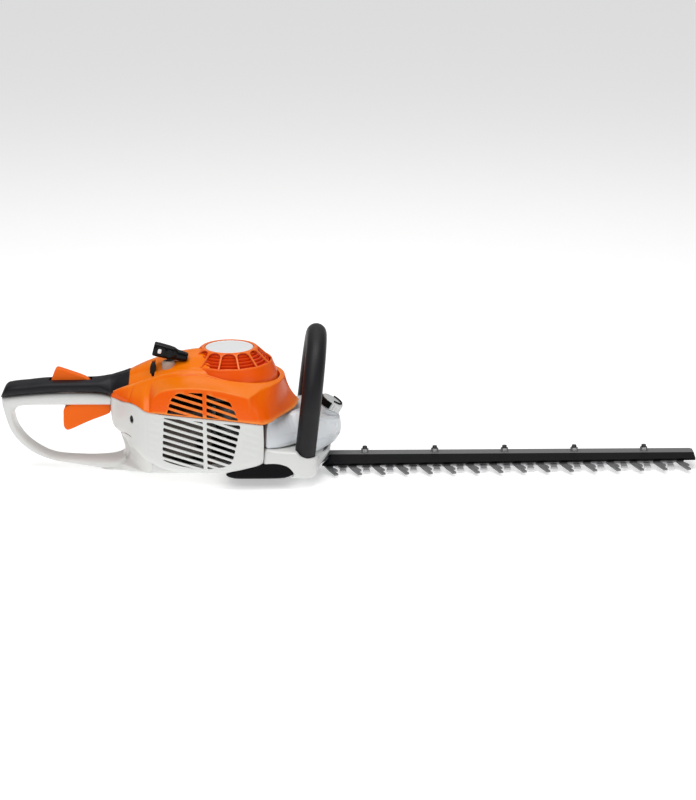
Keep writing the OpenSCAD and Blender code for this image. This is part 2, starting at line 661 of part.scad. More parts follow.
// Slots that let the blade slide past the bolts, dir is the travel direction
module bolt_slots(dir) for (k = [0 : bolts - 1]) translate([bolt_x0 + k * bolt_pitch, 0]) {
    for (q = [0, -dir * stroke]) translate([q, 0]) circle(r = 4.3);
    translate([dir > 0 ? -stroke : 0, -4.3]) square([stroke, 8.6]);
}
module blade_side(shift, len) {
    polygon([[126, 0.2], [136, -14], [bar_x1 - 22, -flange_tip], [bar_x1 - 16, 0.2]]);
    for (k = [0 : teeth - 1]) let (x = tooth_x0 + shift + k * pitch)
        if (x < bar_x1 - 16) translate([x - 4, -flange(x) + 2]) children();
}
module upper_blade() color([0.4, 0.41, 0.43]) folded(upper_z) {
    blade_strip(gear_x + ecc) bolt_slots(-1);
    union() {
        polygon([[126, 0.2], [130, -20], [bar_x1 - 22, -flange_tip], [bar_x1 - 16, 0.2]]);
        for (k = [0 : teeth - 1]) let (x = tooth_x0 + k * pitch)
            translate([x - 5, 3 - flange(x)]) hook_tooth(long_tooth + 3);
    }
}
module lower_blade() color([0.75, 0.76, 0.78]) folded(lower_z) {
    blade_strip(gear_x - ecc) bolt_slots(1);
    union() {
        polygon([[126, 0.2], [134, -18], [bar_x1 - 36, -flange_tip + 1], [bar_x1 - 31, 0.2]]);
        for (k = [0 : teeth - 2]) let (x = tooth_x0 + pitch / 2 + k * pitch)
            translate([x - 5, 5 - flange(x)]) plain_tooth(short_tooth + 3);
    }
}
module guide_bar() color([0.25, 0.25, 0.26]) difference() {
    union() {
        translate([0, 0, bar_z]) linear_extrude(bar_t) polygon([[104, -30], [115, -30],
            [128, -strip_w / 2], [bar_x1, -strip_w / 2], [bar_x1, strip_w / 2 - 3],
            [bar_x1 - 3, strip_w / 2], [128, strip_w / 2], [115, 30], [104, 30]]);
        translate([0, -strip_w / 2, bar_z]) rotate([fold, 0, 0]) linear_extrude(bar_t)
            polygon([[bar_x0 + 15, 0.3], [bar_x0 + 2, -flange_root], [bar_x1, -flange_tip],
                [bar_x1, 0.3]]);
    }
    for (k = [0 : bolts - 1]) translate([bolt_x0 + k * bolt_pitch, 0, 0]) cyl(40, 3.05);
    for (s = [-1, 1]) translate([109, s * 22, 0]) cyl(40, 3);
}
module bar_bolts() color([0.3, 0.3, 0.31]) for (k = [0 : bolts - 1])
    translate([bolt_x0 + k * bolt_pitch, 0, 0]) {
        translate([0, 0, 5]) cyl(lower_z - 5 - 0.2, 6.5);
        translate([0, 0, lower_z - 0.3]) cyl(bar_z - lower_z + 0.28, 4);
        translate([0, 0, bar_z - 0.1]) cyl(11, 3);
    }
module bar_nuts() color([0.6, 0.6, 0.62]) for (k = [0 : bolts - 1])
    translate([bolt_x0 + k * bolt_pitch, 0, bar_z + bar_t]) difference() {
        union() {
            cyl(1.2, 5.2);
            linear_extrude(5) circle(r = 4.8, $fn = 6);
        }
        translate([0, 0, -1]) cyl(9, 3.05);
    }
module case_screws() color([0.3, 0.3, 0.31]) {
    for (s = [-1, 1]) translate([-120.5, s * 48, 65]) rotate([90, 0, 0])
        translate([0, 0, -7]) cyl(14, 1.98);
    for (s = [-1, 1]) translate([-100, s * 62, 126]) cyl(7, 2.5);
    for (s = [-1, 1]) translate([60, s * 50, 8]) cyl(9, 2.5);
}

top_cover();
starter_housing();
badge_disc();
side_panel_near();
side_panel_far();
base_housing();
skid_foot();
handle_shell_near();
handle_shell_far();
rear_grip();
front_bow();
fuel_tank();
fuel_cap();
cap_bail();
air_filter_cover();
air_filter();
choke_knob();
carburettor();
intake_flange();
engine_cylinder();
piston();
gudgeon_pin();
connecting_rod();
crankcase();
upper_bearing();
lower_bearing();
muffler();
spark_plug();
plug_boot();
ignition_module();
fan_shroud();
crankshaft();
flywheel();
clutch_hub();
clutch_shoes();
starter_cup();
clutch_drum();
rope_drum();
starter_rope();
recoil_spring();
rope_guide();
starter_grip();
stop_switch();
throttle_trigger();
trigger_pin();
trigger_spring();
lockout_lever();
lever_pin();
throttle_rod();
gear_housing();
gear_cover();
drive_gear();
guide_bar();
upper_blade();
lower_blade();
bar_bolts();
bar_nuts();
case_screws();
bow_screws();
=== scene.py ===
"""Looks of the petrol hedge trimmer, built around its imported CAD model.

Lengths in the shape code are millimetres in the machine's own frame: X runs forwards along the
cutting bar, Y across, Z up, and the crankshaft axis is X = Y = 0. mesh_piece() turns them to metres.
"""

import json
from math import cos, pi, radians, sin

import bmesh
import bpy
import numpy as np
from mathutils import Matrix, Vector


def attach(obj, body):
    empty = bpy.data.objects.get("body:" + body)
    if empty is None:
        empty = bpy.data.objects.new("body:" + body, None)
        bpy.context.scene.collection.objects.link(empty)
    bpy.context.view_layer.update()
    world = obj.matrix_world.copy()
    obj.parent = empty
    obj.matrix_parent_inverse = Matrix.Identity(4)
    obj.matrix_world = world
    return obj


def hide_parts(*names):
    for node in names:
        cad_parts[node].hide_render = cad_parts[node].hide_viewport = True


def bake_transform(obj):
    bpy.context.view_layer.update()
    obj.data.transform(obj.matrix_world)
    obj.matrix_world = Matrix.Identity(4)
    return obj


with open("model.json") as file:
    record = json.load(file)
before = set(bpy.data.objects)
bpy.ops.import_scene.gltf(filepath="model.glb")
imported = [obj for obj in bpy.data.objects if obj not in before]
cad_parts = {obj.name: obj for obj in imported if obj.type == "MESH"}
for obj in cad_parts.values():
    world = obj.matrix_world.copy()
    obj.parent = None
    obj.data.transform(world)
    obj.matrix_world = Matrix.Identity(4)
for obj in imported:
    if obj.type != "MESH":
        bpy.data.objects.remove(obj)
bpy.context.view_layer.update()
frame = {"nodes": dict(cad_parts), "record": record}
MM = 0.001


# ---------- curves and outlines ----------
def table(xs, ys):
    """A smooth function through the points (xs, ys), without overshoot."""
    xs, ys = np.array(xs, float), np.array(ys, float)
    h = np.diff(xs)
    slope = np.diff(ys) / h
    m = np.zeros_like(xs)
    m[0], m[-1] = slope[0], slope[-1]
    for i in range(1, len(xs) - 1):
        if slope[i - 1] * slope[i] > 0:
            a, b = 2 * h[i] + h[i - 1], h[i] + 2 * h[i - 1]
            m[i] = (a + b) / (a / slope[i - 1] + b / slope[i])

    def value(x):
        x = np.clip(x, xs[0], xs[-1])
        i = np.clip(np.searchsorted(xs, x, side="right") - 1, 0, len(h) - 1)
        t = (x - xs[i]) / h[i]
        return (
            (2 * t**3 - 3 * t**2 + 1) * ys[i]
            + (t**3 - 2 * t**2 + t) * h[i] * m[i]
            + (3 * t**2 - 2 * t**3) * ys[i + 1]
            + (t**3 - t**2) * h[i] * m[i + 1]
        )

    return value


def smoothstep(t):
    t = np.clip(t, 0, 1)
    return t * t * (3 - 2 * t)


def mirrored(half):
    """A closed outline from its -Y half, given from the rear to the front."""
    return [(x, -y) for x, y in half] + [(x, y) for x, y in reversed(half)]


def rounded(points, passes=3):
    """Cuts the corners of a closed outline again and again."""
    p = np.array(points, float)
    for _ in range(passes):
        q = np.roll(p, -1, axis=0)
        p = np.stack([0.8 * p + 0.2 * q, 0.2 * p + 0.8 * q], axis=1).reshape(-1, 2)
    return p


def eased(points, size):
    """Cuts every corner of a closed outline by the same small length."""
    p, out = np.array(points, float), []
    for before, corner, after in zip(np.roll(p, 1, axis=0), p, np.roll(p, -1, axis=0)):
        for end in (before, after):
            step = end - corner
            out.append(tuple(corner + step * min(0.35, size / max(1e-6, np.linalg.norm(step)))))
    return out


def resampled(points, count):
    """The closed outline as count points at equal steps along it."""
    p = np.vstack([points, points[:1]])
    s = np.r_[0, np.cumsum(np.hypot(*np.diff(p, axis=0).T))]
    t = np.linspace(0, s[-1], count, endpoint=False)
    return np.stack([np.interp(t, s, p[:, 0]), np.interp(t, s, p[:, 1])], axis=1)


def outward(p):
    """Unit normals that point out of a closed outline which runs anticlockwise."""
    d = np.roll(p, -2, axis=0) - np.roll(p, 2, axis=0)
    n = np.stack([d[:, 1], -d[:, 0]], axis=1)
    return n / np.linalg.norm(n, axis=1, keepdims=True)


def superellipse(count, half_a, half_b, power=2.6):
    """Points of a rounded rectangle around the origin."""
    a = np.linspace(0, 2 * pi, count, endpoint=False)
    c, s = np.cos(a), np.sin(a)
    p = [half_a * np.sign(c) * np.abs(c) ** (2 / power), half_b * np.sign(s) * np.abs(s) ** (2 / power)]
    return np.stack(p, axis=1)


def box(x0, z0, x1, z1):
    """The outline of a rectangle between two opposite corners."""
    return [(x0, z0), (x1, z0), (x1, z1), (x0, z1)]


def tilted(centre, tilt):
    """Gives a function that turns a piece's own points, tipped nose down about Y, into the machine's."""
    c, s = cos(tilt), sin(tilt)

    def turned(x, y, z):
        return (centre.x + x * c + z * s, centre.y + y, centre.z - x * s + z * c)

    return turned


# ---------- meshes ----------
def new_object(name, data):
    obj = bpy.data.objects.new(name, data)
    bpy.context.scene.collection.objects.link(obj)
    return obj


def mesh_piece(name, verts, faces, angle=35):
    mesh = bpy.data.meshes.new(name)
    mesh.from_pydata((np.array(verts, float) * MM).tolist(), [], [list(map(int, f)) for f in faces])
    mesh.update()
    obj = new_object(name, mesh)
    recalculate(obj)
    shade(obj, angle)
    return obj


def recalculate(obj):
    """Turns all faces outwards."""
    bm = bmesh.new()
    bm.from_mesh(obj.data)
    bmesh.ops.remove_doubles(bm, verts=bm.verts, dist=1e-6)
    bmesh.ops.recalc_face_normals(bm, faces=bm.faces)
    bm.to_mesh(obj.data)
    bm.free()


def shade(obj, angle):
    with bpy.context.temp_override(object=obj, selected_objects=[obj], active_object=obj):
        bpy.ops.object.shade_smooth_by_angle(angle=radians(angle), keep_sharp_edges=False)


def loft(name, rings, closed=True, cap=True, angle=35, loop=False, fan=False):
    """Joins rings of equally many points. closed joins each ring's ends, loop joins last to first.

    fan closes both ends with triangles around a middle point, for ends that aren't flat."""
    rings = [np.array(r, float) for r in rings]
    n, m = len(rings[0]), len(rings)
    verts = np.vstack(rings)
    faces = []
    for i in range(m if loop else m - 1):
        a, b = i * n, ((i + 1) % m) * n
        for j in range(n if closed else n - 1):
            k = (j + 1) % n
            faces.append((a + j, a + k, b + k, b + j))
    if fan:
        verts = np.vstack([verts, rings[0].mean(axis=0), rings[-1].mean(axis=0)])
        for j in range(n):
            k, last = (j + 1) % n, (m - 1) * n
            faces += [(k, j, m * n), (last + j, last + k, m * n + 1)]
    elif cap and closed and not loop:
        faces.append(tuple(range(n))[::-1])
        faces.append(tuple(range((m - 1) * n, m * n)))
    return mesh_piece(name, verts, faces, angle)


def apply_modifiers(obj, angle=35):
    deps = bpy.context.evaluated_depsgraph_get()
    deps.update()
    mesh = bpy.data.meshes.new_from_object(obj.evaluated_get(deps))
    obj.modifiers.clear()
    obj.data = mesh
    shade(obj, angle)
    return obj


def thicken(obj, thickness, angle=35):
    """Gives an open surface a wall towards its inside."""
    mod = obj.modifiers.new("wall", "SOLIDIFY")
    mod.thickness = thickness * MM
    mod.offset = -1
    return apply_modifiers(obj, angle)


def bevel(obj, width, segments=3, angle=35):
    mod = obj.modifiers.new("bevel", "BEVEL")
    mod.width = width * MM
    mod.segments = segments
    mod.limit_method = "ANGLE"
    mod.angle_limit = radians(35)
    mod.use_clamp_overlap = True
    return apply_modifiers(obj, angle)


def cut(obj, cutters, angle=35):
    """Takes the cutters, joined, out of obj, and removes them."""
    cutter = join("cutter", cutters)
    mod = obj.modifiers.new("cut", "BOOLEAN")
    mod.operation = "DIFFERENCE"
    mod.solver = "EXACT"
    mod.object = cutter
    apply_modifiers(obj, angle)
    bpy.data.objects.remove(cutter)
    return obj


def join(name, pieces, angle=35):
    """One mesh piece out of several, which are removed."""
    verts, faces, start = [], [], 0
    for p in pieces:
        verts += [tuple(p.matrix_world @ v.co / MM) for v in p.data.vertices]
        faces += [tuple(i + start for i in f.vertices) for f in p.data.polygons]
        start = len(verts)
    for p in pieces:
        bpy.data.objects.remove(p)
    return mesh_piece(name, verts, faces, angle)


def prism(name, outline, axis, low, high, angle=35):
    """An outline pushed along X, Y or Z; it holds the other two coordinates in order."""
    def at(p, t):
        return {"x": (t, *p), "y": (p[0], t, p[1]), "z": (*p, t)}[axis]

    return loft(name, [[at(p, t) for p in outline] for t in (low, high)], angle=angle)


def block(corners, axis, low, high):
    """A box that cutting takes away."""
    return prism("cut", box(*corners), axis, low, high)


def tube(name, path, radius, sides=16, angle=50):
    """A round tube along a path of points; radius is a number or one number per point."""
    path = np.array(path, float)
    radii = np.broadcast_to(radius, len(path))
    tangent = np.gradient(path, axis=0)
    tangent /= np.linalg.norm(tangent, axis=1, keepdims=True)
    side = np.cross(tangent[0], (0.3, 0.5, 0.81))
    a = np.linspace(0, 2 * pi, sides, endpoint=False)[:, None]
    rings = []
    for p, t, r in zip(path, tangent, radii):
        side = side - t * (side @ t)
        side /= np.linalg.norm(side)
        rings.append(p + r * (np.cos(a) * side + np.sin(a) * np.cross(t, side)))
    return loft(name, rings, angle=angle)


def revolve(name, profile, centre=(0, 0), count=96, angle=35):
    """Turns a profile of (radius, height) points about the vertical line through centre."""
    a = np.linspace(0, 2 * pi, count, endpoint=False)
    rings = [np.stack([centre[0] + r * np.cos(a), centre[1] + r * np.sin(a), np.full(count, z)], axis=1)
             for r, z in profile]
    return loft(name, rings, cap=False, angle=angle)


# ---------- materials ----------
def connect(tree, node, inputs):
    """Sets a node's inputs, each to a value or to another node's output."""
    for key, value in inputs.items():
        if isinstance(value, bpy.types.NodeSocket):
            tree.links.new(value, node.inputs[key])
        else:
            node.inputs[key].default_value = value


def add(tree, kind, inputs=(), **settings):
    node = tree.nodes.new("ShaderNode" + kind)
    for key, value in settings.items():
        setattr(node, key, value)
    connect(tree, node, dict(inputs))
    return node


def noise(tree, place_at, scale, detail, roughness):
    inputs = {"Vector": place_at, "Scale": scale, "Detail": detail, "Roughness": roughness}
    return add(tree, "TexNoise", inputs).outputs["Fac"]


def ramp(tree, value, low, high, start=0.0, end=1.0):
    """Turns low to high into start to end."""
    inputs = {"Value": value, "From Min": low, "From Max": high, "To Min": start, "To Max": end}
    return add(tree, "MapRange", inputs).outputs["Result"]


def product(tree, a, b):
    return add(tree, "Math", {0: a, 1: b}, operation="MULTIPLY").outputs["Value"]


def mixed(tree, factor, a, b):
    return add(tree, "Mix", {"Factor": factor, "A": a, "B": b}, data_type="RGBA").outputs["Result"]


DUST = (0.16, 0.15, 0.12, 1)
EDGE_WEAR_AND_HIGHLIGHT = (0.508, 0.55)  # pointiness from where edges start to show wear and painted highlight to where both are full
DUSTY = (0.52, 0.75)


def surface(name, colour, roughness, grain, grain_size, tint, wear=0.0, wear_colour=None, metallic=0.0,
            coat=0.0, brushed=(1, 1, 1), dirt=0.0, specular=0.5, subsurface=0.0, rough_spread=0.08,
            top_colour=None, top_range=(0.45, 0.9)):
    """A material with colour, roughness and relief that vary over the surface."""
    mat = bpy.data.materials.new(name)
    mat.use_nodes = True
    tree = mat.node_tree
    at = add(tree, "TexCoord").outputs["Object"]
    stretched = add(tree, "Mapping", {"Vector": at, "Scale": brushed}).outputs["Vector"]
    cloud = noise(tree, at, 18.0, 4.0, 0.6)
    fine = noise(tree, stretched, float(grain_size), 3.0, 0.55)
    darker = tuple(c * (1 - 2.2 * tint) for c in colour)
    lighter = tuple(min(1, c * (1 + 1.2 * tint)) for c in colour)
    tone = mixed(tree, cloud, (*darker, 1), (*lighter, 1))
    geometry = add(tree, "NewGeometry").outputs
    # Painted light: faces that look up get a lighter colour, standing for the stronger light from above.
    if top_colour:
        height = add(tree, "SeparateXYZ", {"Vector": geometry["Normal"]}).outputs["Z"]
        tone = mixed(tree, ramp(tree, height, *top_range), tone, (*top_colour, 1))
    # Lighter sharp edges: edge wear, and on the orange shells also a painted highlight along ridges and
    # window edges.
    if wear:
        spots = noise(tree, at, 90.0, 6.0, 0.7)
        amount = product(tree, product(tree, ramp(tree, geometry["Pointiness"], *EDGE_WEAR_AND_HIGHLIGHT), spots), wear)
        tone = mixed(tree, amount, tone, (*(wear_colour or lighter), 1))
    if dirt:
        patches = noise(tree, at, 55.0, 8.0, 0.75)
        tone = mixed(tree, ramp(tree, patches, *DUSTY, 0, dirt), tone, DUST)
    low, high = max(0.02, roughness - rough_spread), min(1, roughness + rough_spread)
    rough = ramp(tree, cloud if brushed == (1, 1, 1) else fine, 0, 1, low, high)
    inputs = {"Base Color": tone, "Roughness": rough, "Metallic": metallic, "Specular IOR Level": specular}
    if coat:
        inputs |= {"Coat Weight": coat, "Coat Roughness": 0.12}
    if subsurface:
        inputs |= {"Subsurface Weight": subsurface, "Subsurface Radius": (0.01, 0.008, 0.006),
                   "Subsurface Scale": 1.0}
    if grain:
        relief = add(tree, "Bump", {"Strength": grain, "Distance": 0.0004, "Height": fine})
        inputs["Normal"] = relief.outputs["Normal"]
    connect(tree, tree.nodes["Principled BSDF"], inputs)
    return mat


# Each look gives the colour, the roughness, the strength and fineness of the grain and how much the
# colour varies, and then whatever else the surface has.
LOOKS = {
    # orange_shell: its lighter edges are partly wear, partly painted highlight; its yellower colour on
    # faces that look up is painted light from above.
    "orange_shell": ((0.97, 0.125, 0.001), 0.26, 0.05, 900, 0.02, dict(specular=0.2, wear=1.0,
        wear_colour=(1.0, 0.42, 0.10), top_colour=(0.97, 0.21, 0.001))),
    # orange_dome: its lighter edges are partly wear, partly painted highlight.
    "orange_dome": ((0.96, 0.115, 0.002), 0.30, 0.05, 900, 0.02, dict(specular=0.2, wear=0.9,
        wear_colour=(1.0, 0.36, 0.08))),
    # A darker copy of the orange: painted shade for the liner seen inside the dome's windows.
    "orange_liner_painted_shade": ((0.80, 0.062, 0.001), 0.34, 0.05, 900, 0.03, dict(specular=0.2)),
    "orange_control": ((1.0, 0.15, 0.001), 0.42, 0.12, 1200, 0.02, dict(specular=0.2)),
    "white_shell": ((0.76, 0.77, 0.75), 0.33, 0.05, 900, 0.012, dict(coat=0.15)),
    "badge_white": ((0.97, 0.98, 0.99), 0.22, 0.02, 900, 0.01, dict(coat=0.3)),
    "black_plastic": ((0.003, 0.003, 0.004), 0.45, 0.2, 1500, 0.15, dict(specular=0.1)),
    "black_gloss": ((0.002, 0.002, 0.003), 0.16, 0.03, 1500, 0.1, dict(specular=0.2)),
    "soft_grip": ((0.004, 0.004, 0.007), 0.46, 0.3, 2200, 0.12, dict(specular=0.3, rough_spread=0.06)),
    "bow_cover": ((0.006, 0.006, 0.008), 0.48, 0.35, 1300, 0.2, dict(specular=0.35, rough_spread=0.1)),
    "tank_plastic": ((0.84, 0.87, 0.90), 0.28, 0.04, 700, 0.04, dict(subsurface=0.15)),
    # A grey-brown that paints the highlight on the rope guide's collar below the starter grip.
    "rope_guide_painted_highlight": ((0.46, 0.34, 0.27), 0.42, 0.1, 1000, 0.03, {}),
    "cap_grey": ((0.80, 0.82, 0.81), 0.38, 0.1, 1000, 0.03, {}),
    # bar_steel: its upward faces are painted lighter grey, a painted sheen of the light from above.
    "bar_steel": ((0.003, 0.003, 0.004), 0.38, 0.15, 500, 0.2, dict(brushed=(0.25, 3, 3), specular=0.08,
        top_colour=(0.19, 0.19, 0.19), top_range=(0.984, 0.994))),
    # blade_dark and blade_bright are the same steel: their difference in colour is painted light and
    # painted shade on the two blades; the dust on them is real dirt.
    "blade_dark": ((0.20, 0.20, 0.205), 0.38, 0.3, 380, 0.2, dict(metallic=0.85, brushed=(6, 0.6, 1),
        dirt=0.3)),
    "blade_bright": ((0.50, 0.50, 0.51), 0.34, 0.25, 380, 0.12, dict(metallic=0.5, brushed=(6, 0.6, 1),
        dirt=0.1)),
    "zinc_steel": ((0.55, 0.55, 0.56), 0.28, 0.1, 400, 0.1, dict(metallic=1.0)),
    "cast_alloy": ((0.22, 0.25, 0.26), 0.48, 0.5, 500, 0.1, dict(metallic=0.8)),
    "muffler_steel": ((0.10, 0.085, 0.075), 0.42, 0.3, 260, 0.35, dict(metallic=0.5, dirt=0.6)),
    "dark_steel": ((0.09, 0.09, 0.095), 0.35, 0.2, 400, 0.2, dict(metallic=0.9)),
    "drum_plastic": ((0.6, 0.6, 0.56), 0.45, 0.1, 800, 0.05, {}),
    "rope_fibre": ((0.05, 0.05, 0.05), 0.8, 0.8, 900, 0.3, {}),
    "filter_felt": ((0.6, 0.56, 0.45), 0.9, 0.9, 700, 0.2, {}),
    "plug_ceramic": ((0.8, 0.8, 0.78), 0.18, 0.02, 800, 0.02, dict(coat=0.4)),
    # opening_dark: a matt black that paints the shade inside openings.
    "opening_dark": ((0.004, 0.004, 0.004), 0.8, 0.1, 900, 0.2, {}),
}
MATERIALS = {name: surface(name, *look[:-1], **look[-1]) for name, look in LOOKS.items()}


def dress(obj, material):
    obj.data.materials.clear()
    obj.data.materials.append(MATERIALS[material])
    return obj


def place(obj, material, body, nodes=()):
    """Gives a piece its material, the body it rides on and the CAD nodes it stands for."""
    dress(obj, material)
    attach(obj, body)
    if nodes:
        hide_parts(*nodes)
    return obj


def fixed(obj, material, *nodes, slot=None):
    """Places a piece that belongs to the machine's own body."""
    return place(obj, material, "machine", nodes)


def dress_cad_nodes():
    slots = {s["node"]: s["material_slot"] for s in frame["record"]["subparts"]}
    for name, obj in frame["nodes"].items():
        dress(obj, slots[name])


# ---------- casing ----------
PLAN_HALF = [(-151, 19.5), (-142, 28), (-125, 55), (-104, 84), (-60, 91), (-20, 95), (20, 97),
             (40, 97), (50, 88), (62, 68), (75, 42), (84, 20), (88, 6)]
OUTLINE = resampled(rounded(mirrored(PLAN_HALF)), 360)
NORMALS = outward(OUTLINE)
SEAM_X = [-151, -143, -137, -128, -119, -110, -103, -84, -60, -35, -10, 15, 40, 46, 52, 64, 77, 83, 88]
seam_z = table(SEAM_X, [100, 98.3, 98.2, 100.6, 101.8, 100.3, 98.3, 95.4, 93.7, 91.8, 89.7, 87, 83.8, 82.8,
                        83, 84.5, 84.5, 85.5, 88])

# Sections of the top cover's near half, from the rear to the nose. Each one gives the seam, the ridge
# over the side panel, the lower and the upper edge of the roll around the starter housing, and how far
# its side face and its shoulder bulge.
COVER_SECTIONS = [
    ((-151, 0, 100), (-150.5, 0, 101), (-150, 0, 103), (-149.4, 0, 105), 0, 0),
    ((-151, 12, 99.5), (-150.6, 12, 101), (-150, 12, 104), (-149, 12, 106), 0, 0),
    ((-150.5, 19.5, 99), (-149.9, 19.3, 101), (-149, 19, 104), (-147.5, 19.5, 106.5), 0, 0),
    ((-146.5, 24, 98.5), (-146, 23.8, 100.5), (-144.5, 25.5, 105.5), (-143.5, 24, 109.3), 0, 0.3),
    ((-142, 28.5, 98.2), (-141.5, 28.3, 100), (-139.5, 30.5, 107), (-137.9, 27, 112.6), 0, 0.5),
    ((-135, 39.5, 98.5), (-134.6, 39.2, 100.2), (-132.5, 39, 107), (-129, 31, 117), 0, 0.6),
    ((-127.5, 51, 100.6), (-127.2, 50.8, 101.8), (-125.1, 48.5, 108), (-121, 33, 120.7), 0, 0.5),
    ((-122, 59, 101.8), (-121.7, 58.8, 103), (-120.5, 47.5, 114), (-113.5, 35, 123.6), 0, 0.8),
    ((-114, 70, 101.2), (-113.6, 69.8, 102.4), (-112.5, 45, 119.2), (-106, 36.5, 126.3), 0, 1.6),
    ((-105, 82.5, 98.8), (-104.6, 82, 100), (-104, 45, 123.2), (-97, 38.4, 129.3), 0, 2),
    ((-98.5, 84.9, 96.9), (-98, 84, 98.5), (-98.6, 46, 125.3), (-92, 39.5, 131.2), 0, 2),
    ((-95, 85.5, 96.4), (-95, 82, 111.3), (-94, 46.4, 127), (-88, 40.2, 132.5), 0.2, 1.2),
    ((-91.5, 86, 96.1), (-91.5, 82.3, 118), (-90, 47, 128.4), (-84, 41.2, 133.9), 0.4, 0),
    ((-86, 86.9, 95.7), (-86, 82.9, 122.2), (-85, 47.4, 129.8), (-79.8, 42, 135), 0.6, -0.6),
    ((-78, 88.2, 95.1), (-78, 84.2, 125.8), (-77, 48.5, 131.6), (-72, 43.8, 137), 0.8, -1.2),
    ((-60, 91, 93.7), (-60, 87, 128.8), (-60, 52, 134.3), (-57, 46.5, 138.8), 0.8, -1.6),
    ((-46, 92.5, 92.7), (-46.6, 88.3, 129.1), (-47, 53.5, 135.2), (-45, 48.5, 139.5), 0.8, -1.6),
    ((-34, 93.7, 91.8), (-34.2, 89.6, 128.9), (-35, 55.5, 135.7), (-33, 51.5, 138.3), 0.8, -1.6),
    ((-20, 95, 90.6), (-21, 90.9, 127.8), (-21.5, 59.5, 134.6), (-20.5, 58.5, 136.2), 0.8, -1.5),
    ((-9, 95.6, 89.6), (-9.5, 91.5, 126.1), (-10, 63.5, 132.6), (-9.5, 61.8, 133.6), 0.8, -1.3),
    ((3, 96.2, 88.3), (2.9, 92.1, 123.5), (2.5, 66, 131), (2.5, 63.2, 131.3), 0.8, -1),
    ((15, 96.8, 87), (15.2, 92.8, 120.5), (15, 66.5, 129.3), (14.8, 62, 129.5), 0.8, -0.6),
    ((25, 97, 85.8), (24.5, 92.6, 117.8), (27, 62.5, 127.5), (26, 58.2, 127.6), 1.2, -0.2),
    ((36, 97, 84.4), (31.5, 85, 118.6), (36.5, 57, 126), (34.5, 54, 126.1), 2, 0.4),
    ((44, 94, 83), (38.5, 73.5, 119.8), (45.5, 50.5, 124.8), (43.5, 47.2, 124.8), 2.6, 0.6),
    ((50.5, 87.5, 82.9), (46.5, 62, 120.5), (53, 43, 123.6), (50.4, 39.8, 123.6), 2, 0.6),
    ((56, 78.5, 83.5), (54, 51, 121), (59.5, 34, 122.8), (56.2, 31, 122.8), 1, 0.5),
    ((63, 66, 84.5), (60.5, 39.5, 121.2), (64.5, 23.5, 122.3), (60.5, 22.2, 122.3), -0.5, 0.4),
    ((71, 50, 84.6), (66, 26.5, 121.3), (67.6, 14, 122.2), (63, 13.4, 122.2), -1.8, 0.3),
    ((79, 33, 84.8), (69, 14.5, 121.4), (68.8, 7, 122.2), (64.1, 6.6, 122.2), -2.4, 0.2),
    ((85, 17, 86.2), (70, 6, 121.5), (69.3, 3, 122.2), (64.5, 3, 122.2), -2.6, 0.2),
    ((88, 0, 88), (70.2, 0, 121.6), (69.4, 0, 122.2), (64.6, 0, 122.2), -2.6, 0.2),
]


def smooth_sections(rows, steps):
    """More sections between the given ones, on smooth curves through them."""
    values = np.array([[c for item in row for c in np.atleast_1d(item)] for row in rows], float)
    keys = np.arange(len(rows))
    fine = np.linspace(0, len(rows) - 1, (len(rows) - 1) * steps + 1)
    return np.stack([table(keys, column)(fine) for column in values.T], axis=1)


def arched(a, b, bulge, count):
    """Points from a to b which swell outwards from the middle of the casing."""
    t = np.linspace(0, 1, count)[:, None]
    mid = (a + b) / 2
    out = np.array([mid[0] * 0.35, mid[1], 0.0])
    out = out / max(1e-6, np.linalg.norm(out)) + np.array([0, 0, 0.45])
    return a + (b - a) * t + np.sin(np.pi * t) * bulge * out


def cornered(lines, radius):
    """Joins lines of points end to end, and rounds the corners between them."""
    out = [lines[0][0]]
    for k, line in enumerate(lines):
        length = np.linalg.norm(line[-1] - line[0])
        keep = np.linspace(0, 1, len(line))
        near = min(0.45, radius[k] / max(length, 1e-6)) if k else 0
        far = min(0.45, radius[k + 1] / max(length, 1e-6)) if k < len(lines) - 1 else 0
        spread = near + (1 - near - far) * keep
        pts = np.stack([np.interp(spread, keep, line[:, c]) for c in range(3)], axis=1)
        if k:
            before, corner = out[-1], line[0]
            for t in (0.25, 0.5, 0.75):
                out.append((1 - t) ** 2 * before + 2 * t * (1 - t) * corner + t * t * pts[0])
        out += list(pts if k else pts[1:])
    return np.array(out)


def cover_section(values):
    seam, ridge, low, high = (values[3 * k:3 * k + 3] * (1, -1, 1) for k in range(4))
    side, shoulder = values[12], values[13]
    return cornered(
        [arched(seam + (0, 0, 0.5), ridge, side, 12), arched(ridge, low, shoulder, 12),
         arched(low, high, 0.5, 6)], [0, 2.0, 1.5])


def collar_section(values):
    """The wall that goes down from the cover's inner edge."""
    high = values[9:12] * (1, -1, 1)
    lip = high + (high[0] * -0.008, high[1] * -0.008, 0.15)
    low = high + (high[0] * -0.02, high[1] * -0.02, -13)
    outside = arched(high * (1.012, 1.012, 1) - (0, 0, 0.5), lip, 0.3, 4)
    return cornered([outside, arched(lip, low, 0, 5)], [0, 0.8])


def both_halves(section):
    """Rings all round the cover: the sections of its near half, and the same mirrored on the way back."""
    near = [section(v) for v in smooth_sections(COVER_SECTIONS, 8)]
    return near + [s * (1, -1, 1) for s in near[-2:0:-1]]


def face_outwards(obj):
    """Turns an open surface so that its faces look away from the machine's middle."""
    mesh = obj.data
    centre = sum((v.co for v in mesh.vertices), Vector()) / len(mesh.vertices)
    facing = sum(p.area * p.normal.dot(p.center - Vector((centre.x, 0, 0.09))) for p in mesh.polygons)
    if facing < 0:
        mesh.flip_normals()
    return obj


def make_cover():
    cover = loft("top_cover_shell", both_halves(cover_section), closed=False, angle=32, loop=True)
    thicken(face_outwards(cover), 1.3, 32)
    cut(cover, vent_cutters(ORANGE_FIELD), 32)
    fixed(cover, "orange_shell", "top_cover")
    collar = loft("collar_shell", both_halves(collar_section), closed=False, angle=32, loop=True)
    thicken(collar, 1.0, 32)
    fixed(collar, "orange_shell")


